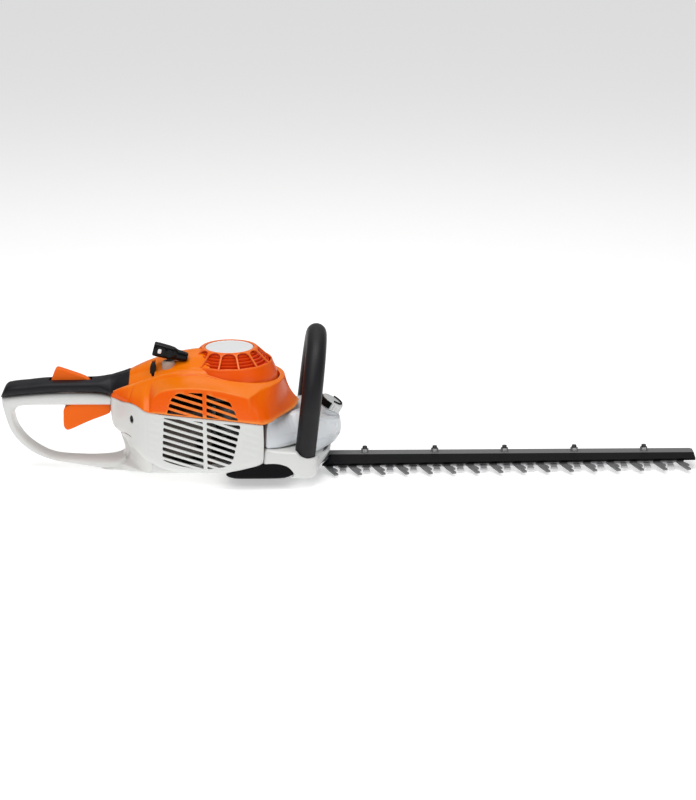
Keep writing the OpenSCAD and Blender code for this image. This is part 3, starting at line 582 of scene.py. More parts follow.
# The saddle is the raised middle of the casing between the grip and the dome.
SADDLE_X = [-151, -147, -138, -129, -121, -113, -106, -97, -88, -80, -72, -57, -45, -33, -20]
saddle_foot = table(SADDLE_X, [21, 22.5, 27, 31, 33, 35, 36.5, 38.2, 40, 42, 43.6, 46.4, 48.5, 50.6, 50.8])
saddle_foot_z = table(SADDLE_X, [104, 107, 112.6, 117, 120.6, 123.6, 126.2, 129.2, 132.3, 135, 137, 138.6,
                                 139.3, 138, 136])
EDGE_X = [-151, -138, -125, -112, -99, -87, -74, -61, -48, -36, -20]
saddle_edge = table(EDGE_X, [13, 14, 14.5, 18, 23, 28, 33, 37, 39.6, 40, 40])
saddle_edge_z = table(EDGE_X, [115, 120, 125.3, 130, 134, 137.2, 139.9, 141.8, 142.3, 142.5, 143])
saddle_top = table([-151, -138, -126, -121, -115, -107, -99, -89, -74, -58, -44, -31, -20],
                   [122, 125, 128.8, 131.6, 135, 138.8, 142, 145, 149, 153, 155.8, 157, 157])
SADDLE_FRONT = -24
GRIP_FRONT = -126.5
ROPE_AT = (-76, -26)


def saddle_section(x, grow=0.0):
    """Half of the saddle across X = x, from its near foot to the middle, and mirrored on."""
    foot = np.array([x, -saddle_foot(x) - grow, saddle_foot_z(x) - 0.6])
    edge = np.array([x, -saddle_edge(x) - grow * 0.7, saddle_edge_z(x) + grow * 0.7])
    top = np.array([x, 0, saddle_top(x) + grow])
    low = foot - (0, -1.5, 6)
    half = cornered([arched(low, foot, 0, 3), swell(foot, edge, 0.8, 8), swell(edge, top, 2.2, 12)],
                    [0, 0.8, 3.2])
    return np.vstack([half, (half * (1, -1, 1))[-2::-1]])


def swell(a, b, bulge, count):
    """Points from a to b, bowed square to the line between them and away from the middle below."""
    t = np.linspace(0, 1, count)[:, None]
    d = (b - a) / np.linalg.norm(b - a)
    out = np.array([0, -d[2], d[1]])
    out = out if out[2] >= 0 else -out
    return a + (b - a) * t + np.sin(np.pi * t) * bulge * out


def make_saddle():
    rings = [saddle_section(x) for x in np.linspace(GRIP_FRONT - 4, SADDLE_FRONT, 60)]
    saddle = loft("saddle_shell", rings, closed=False, angle=32)
    thicken(face_outwards(saddle), 2.0, 32)
    slot = prism("slot", rounded(box(-98.4, 129.5, -93.2, 150), 2), "y", -60, -5)
    well = tube("well", [(*ROPE_AT, 120), (*ROPE_AT, 160)], 4.2, sides=24)
    cut(saddle, [slot, well], 32)
    fixed(saddle, "orange_shell")
    profile = [(8.8, 138), (8.6, 144), (8.0, 146.4), (6.8, 147.8), (5.2, 148.2), (4.2, 147.4), (4.0, 140)]
    guide = thicken(revolve("rope_guide_collar", profile, centre=ROPE_AT, count=48), 0.9)
    # The collar's grey-brown colour is a painted highlight below the grip.
    fixed(guide, "rope_guide_painted_highlight", "rope_guide", slot="orange_shell")
    make_stop_switch()


def make_stop_switch():
    # Painted shade: a dark lining inside the stop switch's slot stands for the shade there.
    lining = prism("slot_painted_shade", rounded(box(-99.4, 128, -92.2, 143), 2), "y", -30, -16)
    bevel(lining, 0.5, 2)
    fixed(lining, "opening_dark", slot="black_plastic")
    side = [(-30, 127.5), (-9, 127.5), (-9, 138.4), (-12, 138.4), (-23.5, 133), (-30, 130.4)]
    switch = prism("stop_switch_rocker", eased(side, 0.8), "x", -97.8, -93.8)
    bevel(switch, 0.5, 2)
    place(switch, "black_plastic", "stop_button", ["stop_switch"])


# The rows of slots, behind and in front of the upright bar between them.
VENT_FALL = (0.2837, 0.342)
MULLION = (-31.2, -26.6)
ROW_LOW = (28.4, 26.9)
ROW_PITCH = (8.4, 8.44)
VENT_HEIGHT = 5.2
VENT_ROWS = range(-2, 13)
SMALLEST_VENT = 14  # square millimetres
RIB_DEPTH = 0.35
RIB_STRETCHES = ((-99, -84.5), (17, 41))


def clip(poly, field):
    """The part of a polygon inside a convex, anticlockwise field."""
    for i in range(len(field)):
        a, b = np.array(field[i]), np.array(field[(i + 1) % len(field)])
        side = [float((b - a)[0] * (p[1] - a[1]) - (b - a)[1] * (p[0] - a[0])) for p in poly]
        out = []
        for j in range(len(poly)):
            k = (j + 1) % len(poly)
            if side[j] >= 0:
                out.append(poly[j])
            if side[j] * side[k] < 0:
                t = side[j] / (side[j] - side[k])
                out.append(tuple(np.array(poly[j]) * (1 - t) + np.array(poly[k]) * t))
        poly = out
        if len(poly) < 3:
            return []
    return poly


def area(poly):
    p = np.array(poly)
    return 0.5 * abs(np.dot(p[:, 0], np.roll(p[:, 1], -1)) - np.dot(p[:, 1], np.roll(p[:, 0], -1)))


def vent_cutters(field):
    """Slots that fall towards the front, on both sides of the mullion, inside a field."""
    cutters, half = [], VENT_HEIGHT / 2
    for column, (far_end, hinge) in enumerate(((-110, MULLION[0]), (40, MULLION[1]))):
        for k in VENT_ROWS:
            z = ROW_LOW[column] + ROW_PITCH[column] * k
            z_far = z - (far_end - hinge) * VENT_FALL[column]
            shape = [(far_end, z_far - half), (hinge, z - half), (hinge, z + half), (far_end, z_far + half)]
            if column:
                shape = [shape[1], shape[0], shape[3], shape[2]]
            shape = clip(shape, field)
            if shape and area(shape) > SMALLEST_VENT:
                cutters.append(prism("slot", eased(shape, 0.9), "y", -130, -70))
    return cutters


ORANGE_FIELD = [(-75.8, 97), (12.5, 89.4), (10.1, 98), (6.4, 105), (2.6, 113.5), (-2, 117.5), (-12, 121),
                (-24, 123.4), (-46, 123.8), (-62, 122.6), (-67, 119.5), (-70.9, 114), (-73.4, 106.5)]
WHITE_FIELD = [(-82.9, 38), (-80.5, 35), (-72.3, 32), (-61, 29), (-46, 26.4), (-22.5, 25.8), (-6, 28.5),
               (3.4, 33.3), (7.4, 44), (11.6, 64), (15, 79.5), (15.2, 83.4), (-80, 91.4)]


def panel_ribs(x, z):
    """The depth of the shallow grooves that carry the rows of slots on behind and in front of them."""
    depth = np.zeros(len(x))
    for column, (start, end) in enumerate(RIB_STRETCHES):
        row = z - ROW_LOW[column] + (x - MULLION[column]) * VENT_FALL[column] - VENT_HEIGHT / 2
        fade = smoothstep((x - start) / 3) * smoothstep((end - x) / 3)
        depth += RIB_DEPTH * fade * (0.5 + 0.5 * np.cos(2 * pi * row / ROW_PITCH[column]))
    return depth


PANEL_LOW = table([-150, -139, -131, -123.7, -111.5, -99, -87, -68, -48, -23, -4, 4, 14, 26, 42],
                  [57, 51, 44.5, 39.3, 33, 28.2, 23.3, 19, 18.2, 17.6, 18, 19.6, 21.8, 25, 29])


def make_side_panel(side, name):
    keep = [i for i in range(len(OUTLINE)) if OUTLINE[i, 1] * side > 15 and OUTLINE[i, 0] < 44]
    keep.sort(key=lambda i: OUTLINE[i, 0])
    p, n = OUTLINE[keep], NORMALS[keep]
    low, top = PANEL_LOW(p[:, 0]), seam_z(p[:, 0]) - 0.4
    rings = []

    def ring(inset_by, z, ribbed=0):
        q = p - n * (inset_by + ribbed * panel_ribs(p[:, 0], z))[:, None]
        rings.append(np.column_stack([q, z]))

    for inward, up in ((9, 0), (5.2, 0.9), (2.6, 3), (1.0, 6), (0.2, 10)):
        ring(inward, low + up)
    for t in np.linspace(0, 1, 56)[1:-1]:
        swelling = sin(pi * t)
        ring(-0.9 * swelling, low + 10 + (top - low - 11) * t, swelling ** 0.5)
    ring(0.2, top - 0.8)
    ring(0.9, top)
    return thicken(face_outwards(loft(name, rings, closed=False)), 2.4)


def screw_hole(side):
    """A cutter for the long hole over the handle's rear screw."""
    oval = superellipse(24, 2.4, 5.4, 2) + (-121.7, 81)
    return prism("hole", oval, "y", *sorted((side * 90, side * 40)))


def crease(side):
    """A cutter for the short groove at the rear end of a side panel."""
    height = table([-141, -130.4, -122.9], [54.5, 58.7, 57.9])
    depth = table([-141, -131, -122.9], [2.6, 0.5, 0.2])
    path = [(x - depth(x) * n[0], y - depth(x) * n[1], float(height(x)))
            for (x, y), n in zip(OUTLINE, NORMALS) if y * side > 0 and -141 < x < -122]
    return tube("crease", path, 1.0, sides=8)


def make_panels():
    near = make_side_panel(-1, "side_panel_near_shell")
    cut(near, vent_cutters(WHITE_FIELD) + [screw_hole(-1), crease(-1)])
    fixed(near, "white_shell", "side_panel_near")
    far = make_side_panel(1, "side_panel_far_shell")
    window = prism("w", rounded(box(-82.5, 29.5, -17.5, 80.3), 1), "y", 60, 120)
    slots = [prism("s", rounded([(-8, z), (34, z - 6), (34, z - 2), (-8, z + 4)], 1), "y", 70, 120)
             for z in (36, 46, 56, 66)]
    cut(far, [window, screw_hole(1), crease(1)] + slots)
    fixed(far, "white_shell", "side_panel_far")


SCREW_HEAD = 3.6
SCREW_ROUND = ((0.6, -3), (0.9, -3), (SCREW_HEAD, -3), (SCREW_HEAD, -0.6), (SCREW_HEAD * 0.9, 0.2),
               (SCREW_HEAD * 0.62, 0.6))
SCREW_SOCKET = ((SCREW_HEAD * 0.56, 0.5), (SCREW_HEAD * 0.52, -1.4), (0.2, -1.5))


def screw_head(place_at, axis):
    """A button head with a hexagonal socket, its outside pointing along axis."""
    turn = Vector(axis).to_track_quat("Z", "Y").to_matrix()
    rings = []
    for r, z in SCREW_ROUND + SCREW_SOCKET:
        ring = []
        for a in np.linspace(0, 2 * pi, 48, endpoint=False):
            flat = cos(pi / 6) / cos((a % (pi / 3)) - pi / 6)
            across = r * flat if (r, z) in SCREW_SOCKET else r
            ring.append(Vector(place_at) + turn @ Vector((across * cos(a), across * sin(a), z)))
        rings.append(ring)
    return loft("head", rings)


def make_case_screws():
    heads = []
    for side in (-1, 1):
        heads += [screw_head((-121.7, side * 52, 80), (0, side, 0)),
                  screw_head((-100, side * 62, 108), (0, 0, 1)),
                  screw_head((60, side * 40, 2.2), (0, 0, -1))]
    fixed(join("case_screw_heads", heads), "dark_steel", "case_screws")


# ---------- starter housing ----------
DOME = [(31.3, 159.0), (33.2, 159.3), (35.2, 158.9), (36.8, 158.0), (38.5, 156.6), (41, 154.3), (45, 150.6),
        (49, 146.9), (52, 144.4), (53.4, 143.4), (54.2, 142.6), (54.8, 141.4), (55.6, 139.2), (57.2, 135.6),
        (59, 131.2), (60.4, 127), (61.2, 122), (61.5, 117.5)]
RIBS = 13
FIRST_RIB = -131
WINDOW_LOW, WINDOW_TOP, WINDOW_ARCH = 52.8, 40.5, 4.9


def cone_window(angle):
    """A cutter for one window in the dome's cone; it narrows upwards with the dome."""
    c, s = cos(angle), sin(angle)
    outline = [(r, pi * r / RIBS - 0.95) for r in np.linspace(WINDOW_LOW, WINDOW_TOP, 7)]
    half_top = outline[-1][1]
    for a in np.linspace(0.1, 0.5, 6) * pi:
        outline.append((WINDOW_TOP - WINDOW_ARCH * sin(a), half_top * cos(a)))
    ring = [(r, -w) for r, w in outline] + [(r, w) for r, w in reversed(outline[:-1])]
    rings = []
    for lift in (-9, 9):
        rings.append([(r * c - w * s + 0.65 * lift * c, r * s + w * c + 0.65 * lift * s,
                       150.6 + (45 - r) * 0.93 + 0.7 * lift) for r, w in ring])
    return loft("cutter", rings)


def make_dome():
    dome = revolve("starter_dome", DOME, count=156, angle=28)
    face_outwards(dome)
    thicken(dome, 1.8, 28)
    step = 2 * pi / RIBS
    cut(dome, [cone_window(radians(FIRST_RIB) + step * (k + 0.5)) for k in range(RIBS)], 28)
    liner = [(30.5, 156.5)]
    for k in range(5):
        r = 34.2 + 3.6 * k
        z = 155.6 - 3.35 * k
        liner += [(r, z), (r + 1.4, z - 0.5), (r + 1.6, z - 1.6), (r + 1.2, z - 4.6), (r + 2.8, z - 5.0)]
    liner += [(52, 138)]
    inner = revolve("starter_liner", liner, count=96, angle=25)
    thicken(inner, 1.0, 25)
    fixed(dome, "orange_dome", "starter_housing", slot="orange_shell")
    # The liner's darker orange is painted shade inside the windows.
    fixed(inner, "orange_liner_painted_shade", slot="orange_shell")
    badge = revolve("plain_badge", [(0.01, 158.6), (20, 158.6), (28, 158.5), (29.3, 158.9), (30.2, 158.7),
                                    (30.5, 157.6), (30.5, 156.6), (0.01, 156.4)], count=96)
    fixed(badge, "badge_white", "badge_disc")


# ---------- rear handle ----------
OUTER = [(-150.5, 99), (-165, 101), (-180, 102), (-205, 102.3), (-231, 101.6), (-256, 100), (-275, 98.2),
         (-285.5, 96.8), (-290.2, 94.5), (-290, 88), (-288.3, 79), (-285, 66), (-280.8, 54), (-275.5, 44.5),
         (-269, 36.5), (-262, 30), (-254, 24), (-243.5, 18.2), (-232, 14), (-218, 10.6), (-205, 8.4),
         (-190, 5.6), (-178, 3.6), (-165, 2.2), (-152, 2), (-141, 3), (-131, 5)]
INNER = [(-152, 85), (-165, 85), (-180, 85), (-205, 85), (-231, 85), (-252, 85), (-261, 84.6),
         (-267.5, 83.5), (-271, 81.2), (-273.6, 77.6), (-274.8, 72), (-273.6, 64), (-270.4, 55),
         (-266.8, 49), (-261.8, 42), (-256.6, 36.5), (-249.5, 30.5), (-241.5, 25), (-232, 19.8),
         (-218, 16), (-205, 14.8),
         (-190, 14), (-178, 13.6), (-165, 13.8), (-152, 14.8), (-143, 16.8), (-134, 22)]
loop_width = table([0, 9, 14, 20, 25], [15.5, 15.2, 15.2, 16.5, 23])


def make_loop():
    outer, inner = np.array(OUTER, float), np.array(INNER, float)
    steps = np.arange(len(outer))
    lines = [table(steps, line[:, axis]) for line in (outer, inner) for axis in (0, 1)]
    rings = []
    for k in np.linspace(0, len(outer) - 1, 100):
        ox, oz, ix, iz = (float(f(k)) for f in lines)
        mid, half = ((ox + ix) / 2, (oz + iz) / 2), ((ox - ix) / 2, (oz - iz) / 2)
        rings.append([(mid[0] + half[0] * b, a, mid[1] + half[1] * b)
                      for a, b in superellipse(28, float(loop_width(k)), 1.0, 3.0)])
    return loft("handle_loop", rings, angle=50)


TAIL_LEFT = table([2, 8, 12, 16, 20, 27, 34, 44, 54, 67, 78, 84, 93],
                  [-168, -158, -149, -141.5, -137, -135, -136.4, -139.5, -142, -145.2, -148, -150, -151.5])
TAIL_SPREAD = table([2, 8, 16, 26, 36, 50, 93], [0.84, 0.90, 0.935, 0.965, 0.985, 1.0, 1.0])
TAIL_FLOOR = table([-170, -141, -115, -102, -90], [2.0, 3.0, 9.5, 12.5, 13.5])
TAIL_HEIGHTS = (2.4, 3.5, 6, 9, 12, 14, 16, 18, 21, 24, 27, 30, 36, 44, 52, 60, 68, 76, 84, 92.4)
TAIL_SIDE = ((-138, 28.5), (-125, 50.5), (-104, 79), (-97, 79), (-88, 72))


def make_tail():
    """The post behind the loop, which widens to the side panels and whose floor rises to the front."""
    rings = []
    for z in TAIL_HEIGHTS:
        left, spread = float(TAIL_LEFT(z)), float(TAIL_SPREAD(z))
        nose = 14.5 + 3.5 * smoothstep((40 - z) / 30)
        points = [(left, nose * 0.55), (left + 3, nose * 0.88), (left + 9, nose * 1.12)]
        for x, y in TAIL_SIDE:
            shift = (left + 146) * max(0, (x + 104) / -34)
            points.append((x + max(0, shift), y * spread))
        ring = resampled(rounded(mirrored(points), 2), 72)
        heights = np.full(len(ring), float(z))
        if z <= 14:
            floor = TAIL_FLOOR(ring[:, 0])
            heights = floor + (z - 2.4) * (14.5 - floor) / 12
        rings.append(np.column_stack([ring, heights]))
    return loft("handle_tail", rings, angle=45)


def make_handle():
    loop = make_loop()
    tail = make_tail()
    slot = block((-217, 70, -150, 104), "y", -9.8, 9.8)
    parting = block((-215, 10, -186, 30), "y", 10.6, 13)
    cut(loop, [slot, parting], 50)
    fixed(loop, "white_shell", "handle_shell_near", "handle_shell_far")
    trigger_room = block((-156, 70, -148.5, 99), "y", -9.8, 9.8)
    cut(tail, [screw_hole(-1), screw_hole(1), trigger_room], 45)
    fixed(tail, "white_shell")


GRIP_TOP = table([-290.4, -287.5, -284.5, -281, -256, -231, -177, -158, -145],
                 [99.5, 106.5, 110, 112.2, 115.2, 117.6, 118.2, 119.8, 122.8])
GRIP_LOW = table([-290.4, -275, -256, -231, -205, -178, -162, -150, -140],
                 [95.6, 98.0, 99.9, 101.6, 102.4, 102.3, 101, 99.5, 101])
GRIP_HALF = table([-290.4, -287.5, -283, -270, -240, -178, -160, -150, -140],
                  [11, 14.5, 16.6, 17.8, 18, 18, 18.8, 20.4, 22])


def grip_ring(x):
    """The grip across X = x: a rounded bar at the rear that turns into the saddle at the front."""
    z0, z1 = float(GRIP_LOW(x)), float(GRIP_TOP(x))
    mid, tall = (z0 + z1) / 2, (z1 - z0) / 2
    angles = np.r_[np.linspace(pi, 0, 41), np.linspace(0, -pi, 21)[1:-1]]
    c, s = np.cos(angles), np.sin(angles)
    y = float(GRIP_HALF(x)) * np.sign(c) * np.abs(c) ** 0.74
    z = tall * np.sign(s) * np.abs(s) ** 0.74
    skew = 0.35 * smoothstep((-283 - x) / 10)
    bar = np.column_stack([x + skew * z, y, mid + z])
    blend = smoothstep((x + 168) / 26)
    if blend == 0:
        return bar
    shape = saddle_section(max(x, -151), 0.7)[3:-3]
    shape[:, 0] = x
    along = np.r_[0, np.cumsum(np.linalg.norm(np.diff(shape[:, 1:], axis=0), axis=1))]
    pick = np.linspace(0, along[-1], 41)
    upper = np.stack([np.interp(pick, along, shape[:, c]) for c in range(3)], axis=1)
    base_y = np.linspace(upper[-1, 1], upper[0, 1], 21)[1:-1]
    lower = np.column_stack([np.full(19, x), base_y, np.full(19, upper[0, 2] - 3.0)])
    return bar * (1 - blend) + np.vstack([upper, lower]) * blend


def make_grip():
    stretches = ((-290.4, -280, 9), (-276, -170, 28), (-167, GRIP_FRONT, 30))
    rings = [grip_ring(x) for stretch in stretches for x in np.linspace(*stretch)]
    grip = loft("rear_soft_grip", rings, angle=50)
    slot = block((-229.5, 100, -175, 130), "y", -6.6, 6.6)
    pocket = block((-233, 95, -157, 114), "y", -11, 11)
    cut(grip, [slot, pocket], 50)
    fixed(grip, "soft_grip", "rear_grip")


TRIGGER_SIDE = [(-211.8, 87), (-213, 58), (-210.5, 52.5), (-206, 51.2), (-180, 63.5), (-153.5, 73.2),
                (-151.8, 78), (-152, 94.5), (-159, 95.5), (-163, 87)]
LEVER_SIDE = [(-226.8, 113), (-226.6, 117.5), (-221.6, 130.5), (-218.5, 133), (-214.5, 132), (-178, 118.8),
              (-177.2, 108), (-183, 108), (-186, 113)]


def make_control(name, side, half_width, edge, body, node):
    control = prism(name, rounded(side, 2), "y", -half_width, half_width)
    place(bevel(control, edge, 3), "orange_control", body, [node])


def make_controls():
    make_control("throttle_trigger_cap", TRIGGER_SIDE, 8.8, 1.6, "throttle", "throttle_trigger")
    make_control("lockout_lever_cap", LEVER_SIDE, 5.8, 1.2, "lockout", "lockout_lever")


# ---------- front bow ----------
BOW_FOOT = Vector((95, 0, 37))
BOW_LEAN = radians(6.7)
BOW_ARCH = 78
BOW_LEG = 59


def bow_point(y, z):
    return (BOW_FOOT.x + z * sin(BOW_LEAN), y, BOW_FOOT.z + z * cos(BOW_LEAN))


def make_bow():
    leg = [(-BOW_ARCH, z) for z in np.linspace(-6, BOW_LEG, 14)[:-1]]
    arch = [(-BOW_ARCH * cos(a), BOW_LEG + BOW_ARCH * sin(a)) for a in np.linspace(0, pi, 49)]
    line = leg + arch + [(-y, z) for y, z in reversed(leg)]
    bow = tube("front_bow_tube", [bow_point(y, z) for y, z in line], 12.9, sides=40, angle=60)
    fixed(bow, "bow_cover", "front_bow")


# ---------- base, foot and tank ----------
BASE_PLAN = mirrored([(38, 92.6), (60, 93.2), (78, 95), (92, 95.5), (101, 94.2), (109, 88), (115, 72),
                      (124, 42), (129.3, 18)])
BASE_TOP = table([38, 46, 56, 70, 84, 90, 101, 112, 130], [50, 50, 48.4, 47, 46.4, 41, 37.6, 33, 31.4])


def base_solid(name, smaller, floor, lower):
    """The base's outside, or with a smaller plan and a lower top and floor the room inside it."""
    outline = resampled(rounded(BASE_PLAN, 3), 260)
    n = outward(outline)
    x = outline[:, 0]
    top = BASE_TOP(x) - lower
    front = smoothstep((x - 105) / 20)
    rings = []
    for t, inward in ((0, 5), (0.03, 2.6), (0.09, 1), (0.18, 0.3), (0.3, 0), (0.5, -0.4), (0.7, -0.2),
                      (0.88, 0.4), (0.95, 1.4), (0.985, 3), (1, 6)):
        under = 12 * front * (1 - t) ** 1.5
        q = outline - n * (inward + under + smaller)[:, None]
        rings.append(np.column_stack([q, floor + (top - floor) * t]))
    return loft(name, rings, angle=40, fan=True)


def make_base():
    base = base_solid("base_shell", 0, 12, 0)
    room = base_solid("cut", 2.6, 6, 2.6)
    channel = block((-31, 4, 31, 17.4), "x", 30, 150)
    side = block((-66, 4, -25, 17.4), "x", 99, 150)
    foot_room = prism("cut", rounded(foot_outline(0.5, 10), 1), "y", -110, 110)
    sockets = [tube("cut", [bow_point(s * BOW_ARCH, -4), bow_point(s * BOW_ARCH, 40)], 13.2, sides=40)
               for s in (-1, 1)]
    for cutter in [foot_room] + sockets + [channel, side, room]:
        cut(base, [cutter], 40)
    fixed(base, "white_shell", "base_housing")
    make_bow_socket(-1, "bow_socket_near")
    make_bow_socket(1, "bow_socket_far")
    make_pan()


SOCKET_PROFILE = ((-24.5, 15.2), (-23.5, 16.6), (-21, 17.2), (-12, 17.2), (-3, 16.8), (0.2, 16.2),
                  (1.0, 15.4), (1.1, 13.4), (0, 13.2), (-5, 13.2))


def make_bow_socket(side, name):
    rings = []
    a = np.linspace(0, 2 * pi, 48, endpoint=False)
    for z, r in SOCKET_PROFILE:
        c = bow_point(side * BOW_ARCH, z)
        rings.append(np.column_stack([c[0] + r * np.cos(a), c[1] + r * np.sin(a), np.full(48, c[2])]))
    fixed(loft(name, rings, angle=40), "white_shell")


PAN_PLAN = mirrored([(-106, 66), (-95, 77), (-80, 82.3), (-60, 84.5), (-20, 87.5), (44, 89)])
PAN_FLOOR = table([-108, -99, -68, -44, 0, 44], [12.5, 13.3, 15.2, 16.4, 16.6, 16.6])
PAN_WALL = ((10, 0), (6, 0.2), (3.6, 0.9), (1.4, 2.6), (0.2, 5), (0, 13), (2.2, 13), (3.4, 4.4), (11, 2.4))


def make_pan():
    """The shallow pan that closes the casing from below, behind the foot."""
    outline = resampled(rounded(PAN_PLAN, 2), 200)
    n = outward(outline)
    floor = PAN_FLOOR(outline[:, 0])
    rings = [np.column_stack([outline - n * inward, floor + up]) for inward, up in PAN_WALL]
    pan = loft("base_floor", rings, angle=45, fan=True)
    channel = block((-31, 4, 31, 27), "x", 34, 150)
    shaft_hole = tube("cut", [(0, 0, 0), (0, 0, 30)], 8, sides=32)
    cut(pan, [channel, shaft_hole], 45)
    fixed(pan, "white_shell")


FOOT_HEIGHT = 30


FOOT_SIDE = [(-4.6, 10.5), (-1.5, 4), (6, 0.6), (14, 0), (66, 0), (75, 3.4), (82.3, 10.8), (78, 21),
             (72.6, 28.4), (64, 32), (57.7, 33), (49, 32.6), (41.5, 31.2), (26.5, 24.8), (14, 19.5),
             (4, 16)]
# How far out the rings across the foot lie, how far up they are squeezed and how much they shrink.
FOOT_RINGS = ((92.9, 14.5, 0.93), (92.5, 13.3, 0.97), (90.5, 12, 1), (84, 9.6, 1), (76, 6.8, 1),
              (68, 4.2, 1), (60, 2, 1), (52, 0.6, 1), (44, 0, 1))


def foot_outline(grow, up=0):
    """The foot's side view, bigger all round by grow, and squeezed upwards by up as at its sides."""
    p = np.array(FOOT_SIDE, float)
    centre = p.mean(axis=0)
    p = [q + (q - centre) / np.linalg.norm(q - centre) * grow for q in p]
    return [(x, up + z * (1 - up / FOOT_HEIGHT)) for x, z in p]


def make_foot():
    side = resampled(rounded(foot_outline(0), 2), 90)
    centre = side.mean(axis=0)
    rings = []
    for y, up, shrink in [(-y, *rest) for y, *rest in FOOT_RINGS] + [(0, 0, 1)] + list(FOOT_RINGS[::-1]):
        q = centre + (side - centre) * shrink
        rings.append(np.column_stack([q[:, 0], np.full(len(q), y), up + q[:, 1] * (1 - up / FOOT_HEIGHT)]))
    foot = loft("skid_foot_shell", rings, angle=40)
    cut(foot, [block((-30, 14.5, 130, 60), "y", -80, 80)], 40)
    blade_room = block((-29, 7.5, 129, 59), "y", -45, 45)
    cut(foot, [blade_room], 40)
    fixed(foot, "black_plastic", "skid_foot")


TANK_PLAN = mirrored([(41.5, 92.6), (60, 83), (78, 67), (86, 58.6), (108, 57.4), (124, 42.5), (136.4, 24.4),
                      (143, 8)])


TANK_LOW = table([41, 46, 56, 70, 84, 92, 101, 112, 143],
                 [50.3, 50.3, 49, 47.6, 47.2, 41.5, 37.6, 32.6, 31.9])
TANK_HIGH = table([41, 84, 108, 122, 132, 143], [83.5, 83, 80, 77.5, 74, 69])
TANK_TUCK = table([41, 48, 62, 74, 84, 92, 104], [0.5, 5, 14, 22, 24, 15, 2])
TANK_WALL = ((0, 3), (0.02, 1.4), (0.06, 0.4), (0.14, 0.1), (0.3, 0), (0.5, 0), (0.65, 0), (0.8, 0.2),
             (0.9, 0.8), (0.96, 2.2), (0.99, 4.4), (1, 7.5))
WELD_HEIGHT = 0.38  # of the tank's own height


def make_tank():
    """A tank that swells over the bar and whose sides lean in, under the cover, towards the top."""
    outline = resampled(rounded(TANK_PLAN, 3), 200)
    n = outward(outline)
    x = outline[:, 0]
    low, high, tuck = TANK_LOW(x), TANK_HIGH(x), TANK_TUCK(x)
    front = smoothstep((x - 96) / 40)

    def wall(t, inward):
        belly = 11 * front * max(0, (0.55 - t) / 0.55) ** 1.6 + tuck * max(0, t - 0.1) / 0.9
        return np.column_stack([outline - n * (inward + belly)[:, None], low + (high - low) * t])

    tank = loft("fuel_tank_shell", [wall(*step) for step in TANK_WALL], angle=50, fan=True)
    line = wall(WELD_HEIGHT, 0)
    seam = tube("tank_weld", np.vstack([line, line[:1]]), 0.3, sides=8)
    fixed(tank, "tank_plastic", "fuel_tank")
    fixed(seam, "tank_plastic")


cap_frame = tilted(Vector((129, -4, 84)), radians(32))
CAP_RADIUS = 15


def cap_turned(name, profile, ribs=0, rib_depth=0.0, count=120):
    """A piece turned about the cap's axis, ribbed where it is as wide as the cap."""
    rings = []
    for r, z in profile:
        depth = rib_depth if r == CAP_RADIUS else 0
        ring = []
        for a in np.arange(count) * 2 * pi / count:
            radius = r - depth * (0.5 - 0.5 * cos(ribs * a)) ** 2
            ring.append(cap_frame(radius * cos(a), radius * sin(a), z))
        rings.append(ring)
    return loft(name, rings, angle=40)


def make_cap():
    cap = cap_turned("fuel_cap_ribbed", [
        (14.2, -5.1), (14.9, -4.6), (CAP_RADIUS, -3.8), (CAP_RADIUS, 3.4), (14.7, 4.8), (13.9, 5.8),
        (12.5, 6.0), (2, 6.1)], 20, 0.9)
    place(cap, "cap_grey", "filler_cap", ["fuel_cap"])
    clip_section = ((13.6, -4.6), (16, -4.4), (16.5, -3.4), (16.5, 2.6), (16, 3.8), (13.8, 4.4))
    clip_rings = [[cap_frame(r * cos(a), r * sin(a), z) for r, z in clip_section]
                  for a in np.radians(np.linspace(150, 264, 30))]
    place(loft("fuel_cap_clip", clip_rings), "black_plastic", "filler_cap")
    neck = cap_turned("tank_neck", [
        (14.6, -24), (14, -8), (14.4, -7.2), (14.4, -6.2), (13.2, -5.7), (10.8, -5.6), (10.8, -1.0)])
    fixed(neck, "tank_plastic")
    half_turn = np.linspace(-pi / 2, pi / 2, 25)
    bail = [cap_frame(11.5 * cos(a), 11.5 * sin(a), 7.2) for a in half_turn]
    place(tube("cap_bail_ring", bail, 1.0, sides=12), "black_plastic", "cap_handle", ["cap_bail"])


# ---------- starter grip ----------
GRIP_CENTRE = Vector((-73, -26, 158.3))
grip_frame = tilted(GRIP_CENTRE, radians(15))
# Where the rings across the grip are along it, their half width and half height, and how far they sag.
GRIP_RINGS = ((-21.6, 5.6, 6.0, 0), (-22.3, 7.2, 7.6, 0), (-21.4, 8.2, 8.6, 0), (-16, 8.4, 8.8, 0),
              (-4, 8.3, 8.5, 0), (3, 8.0, 8.1, 0.2), (6, 7.2, 7.2, 0.4), (8, 6.4, 6.5, 0.6),
              (14, 6.1, 6.2, 0.6), (20, 5.8, 5.6, 0.6), (21.6, 5.0, 4.8, 0.6), (22, 3.6, 3.4, 0.6))


def across_grip(along, wide, tall, count, sag=0.0):
    """A rounded rectangle across the starter grip, lowered by sag."""
    points = (grip_frame(along, a, b) for a, b in superellipse(count, wide, tall, 3.0))
    return [(x, y, z - sag) for x, y, z in points]


def grip_oval(along, half_long, half_tall, y):
    """An oval seen from the grip's near side, at the depth Y = y."""
    points = (grip_frame(along + a, 0, b) for a, b in superellipse(32, half_long, half_tall, 3.2))
    return [(x, y, z) for x, _, z in points]


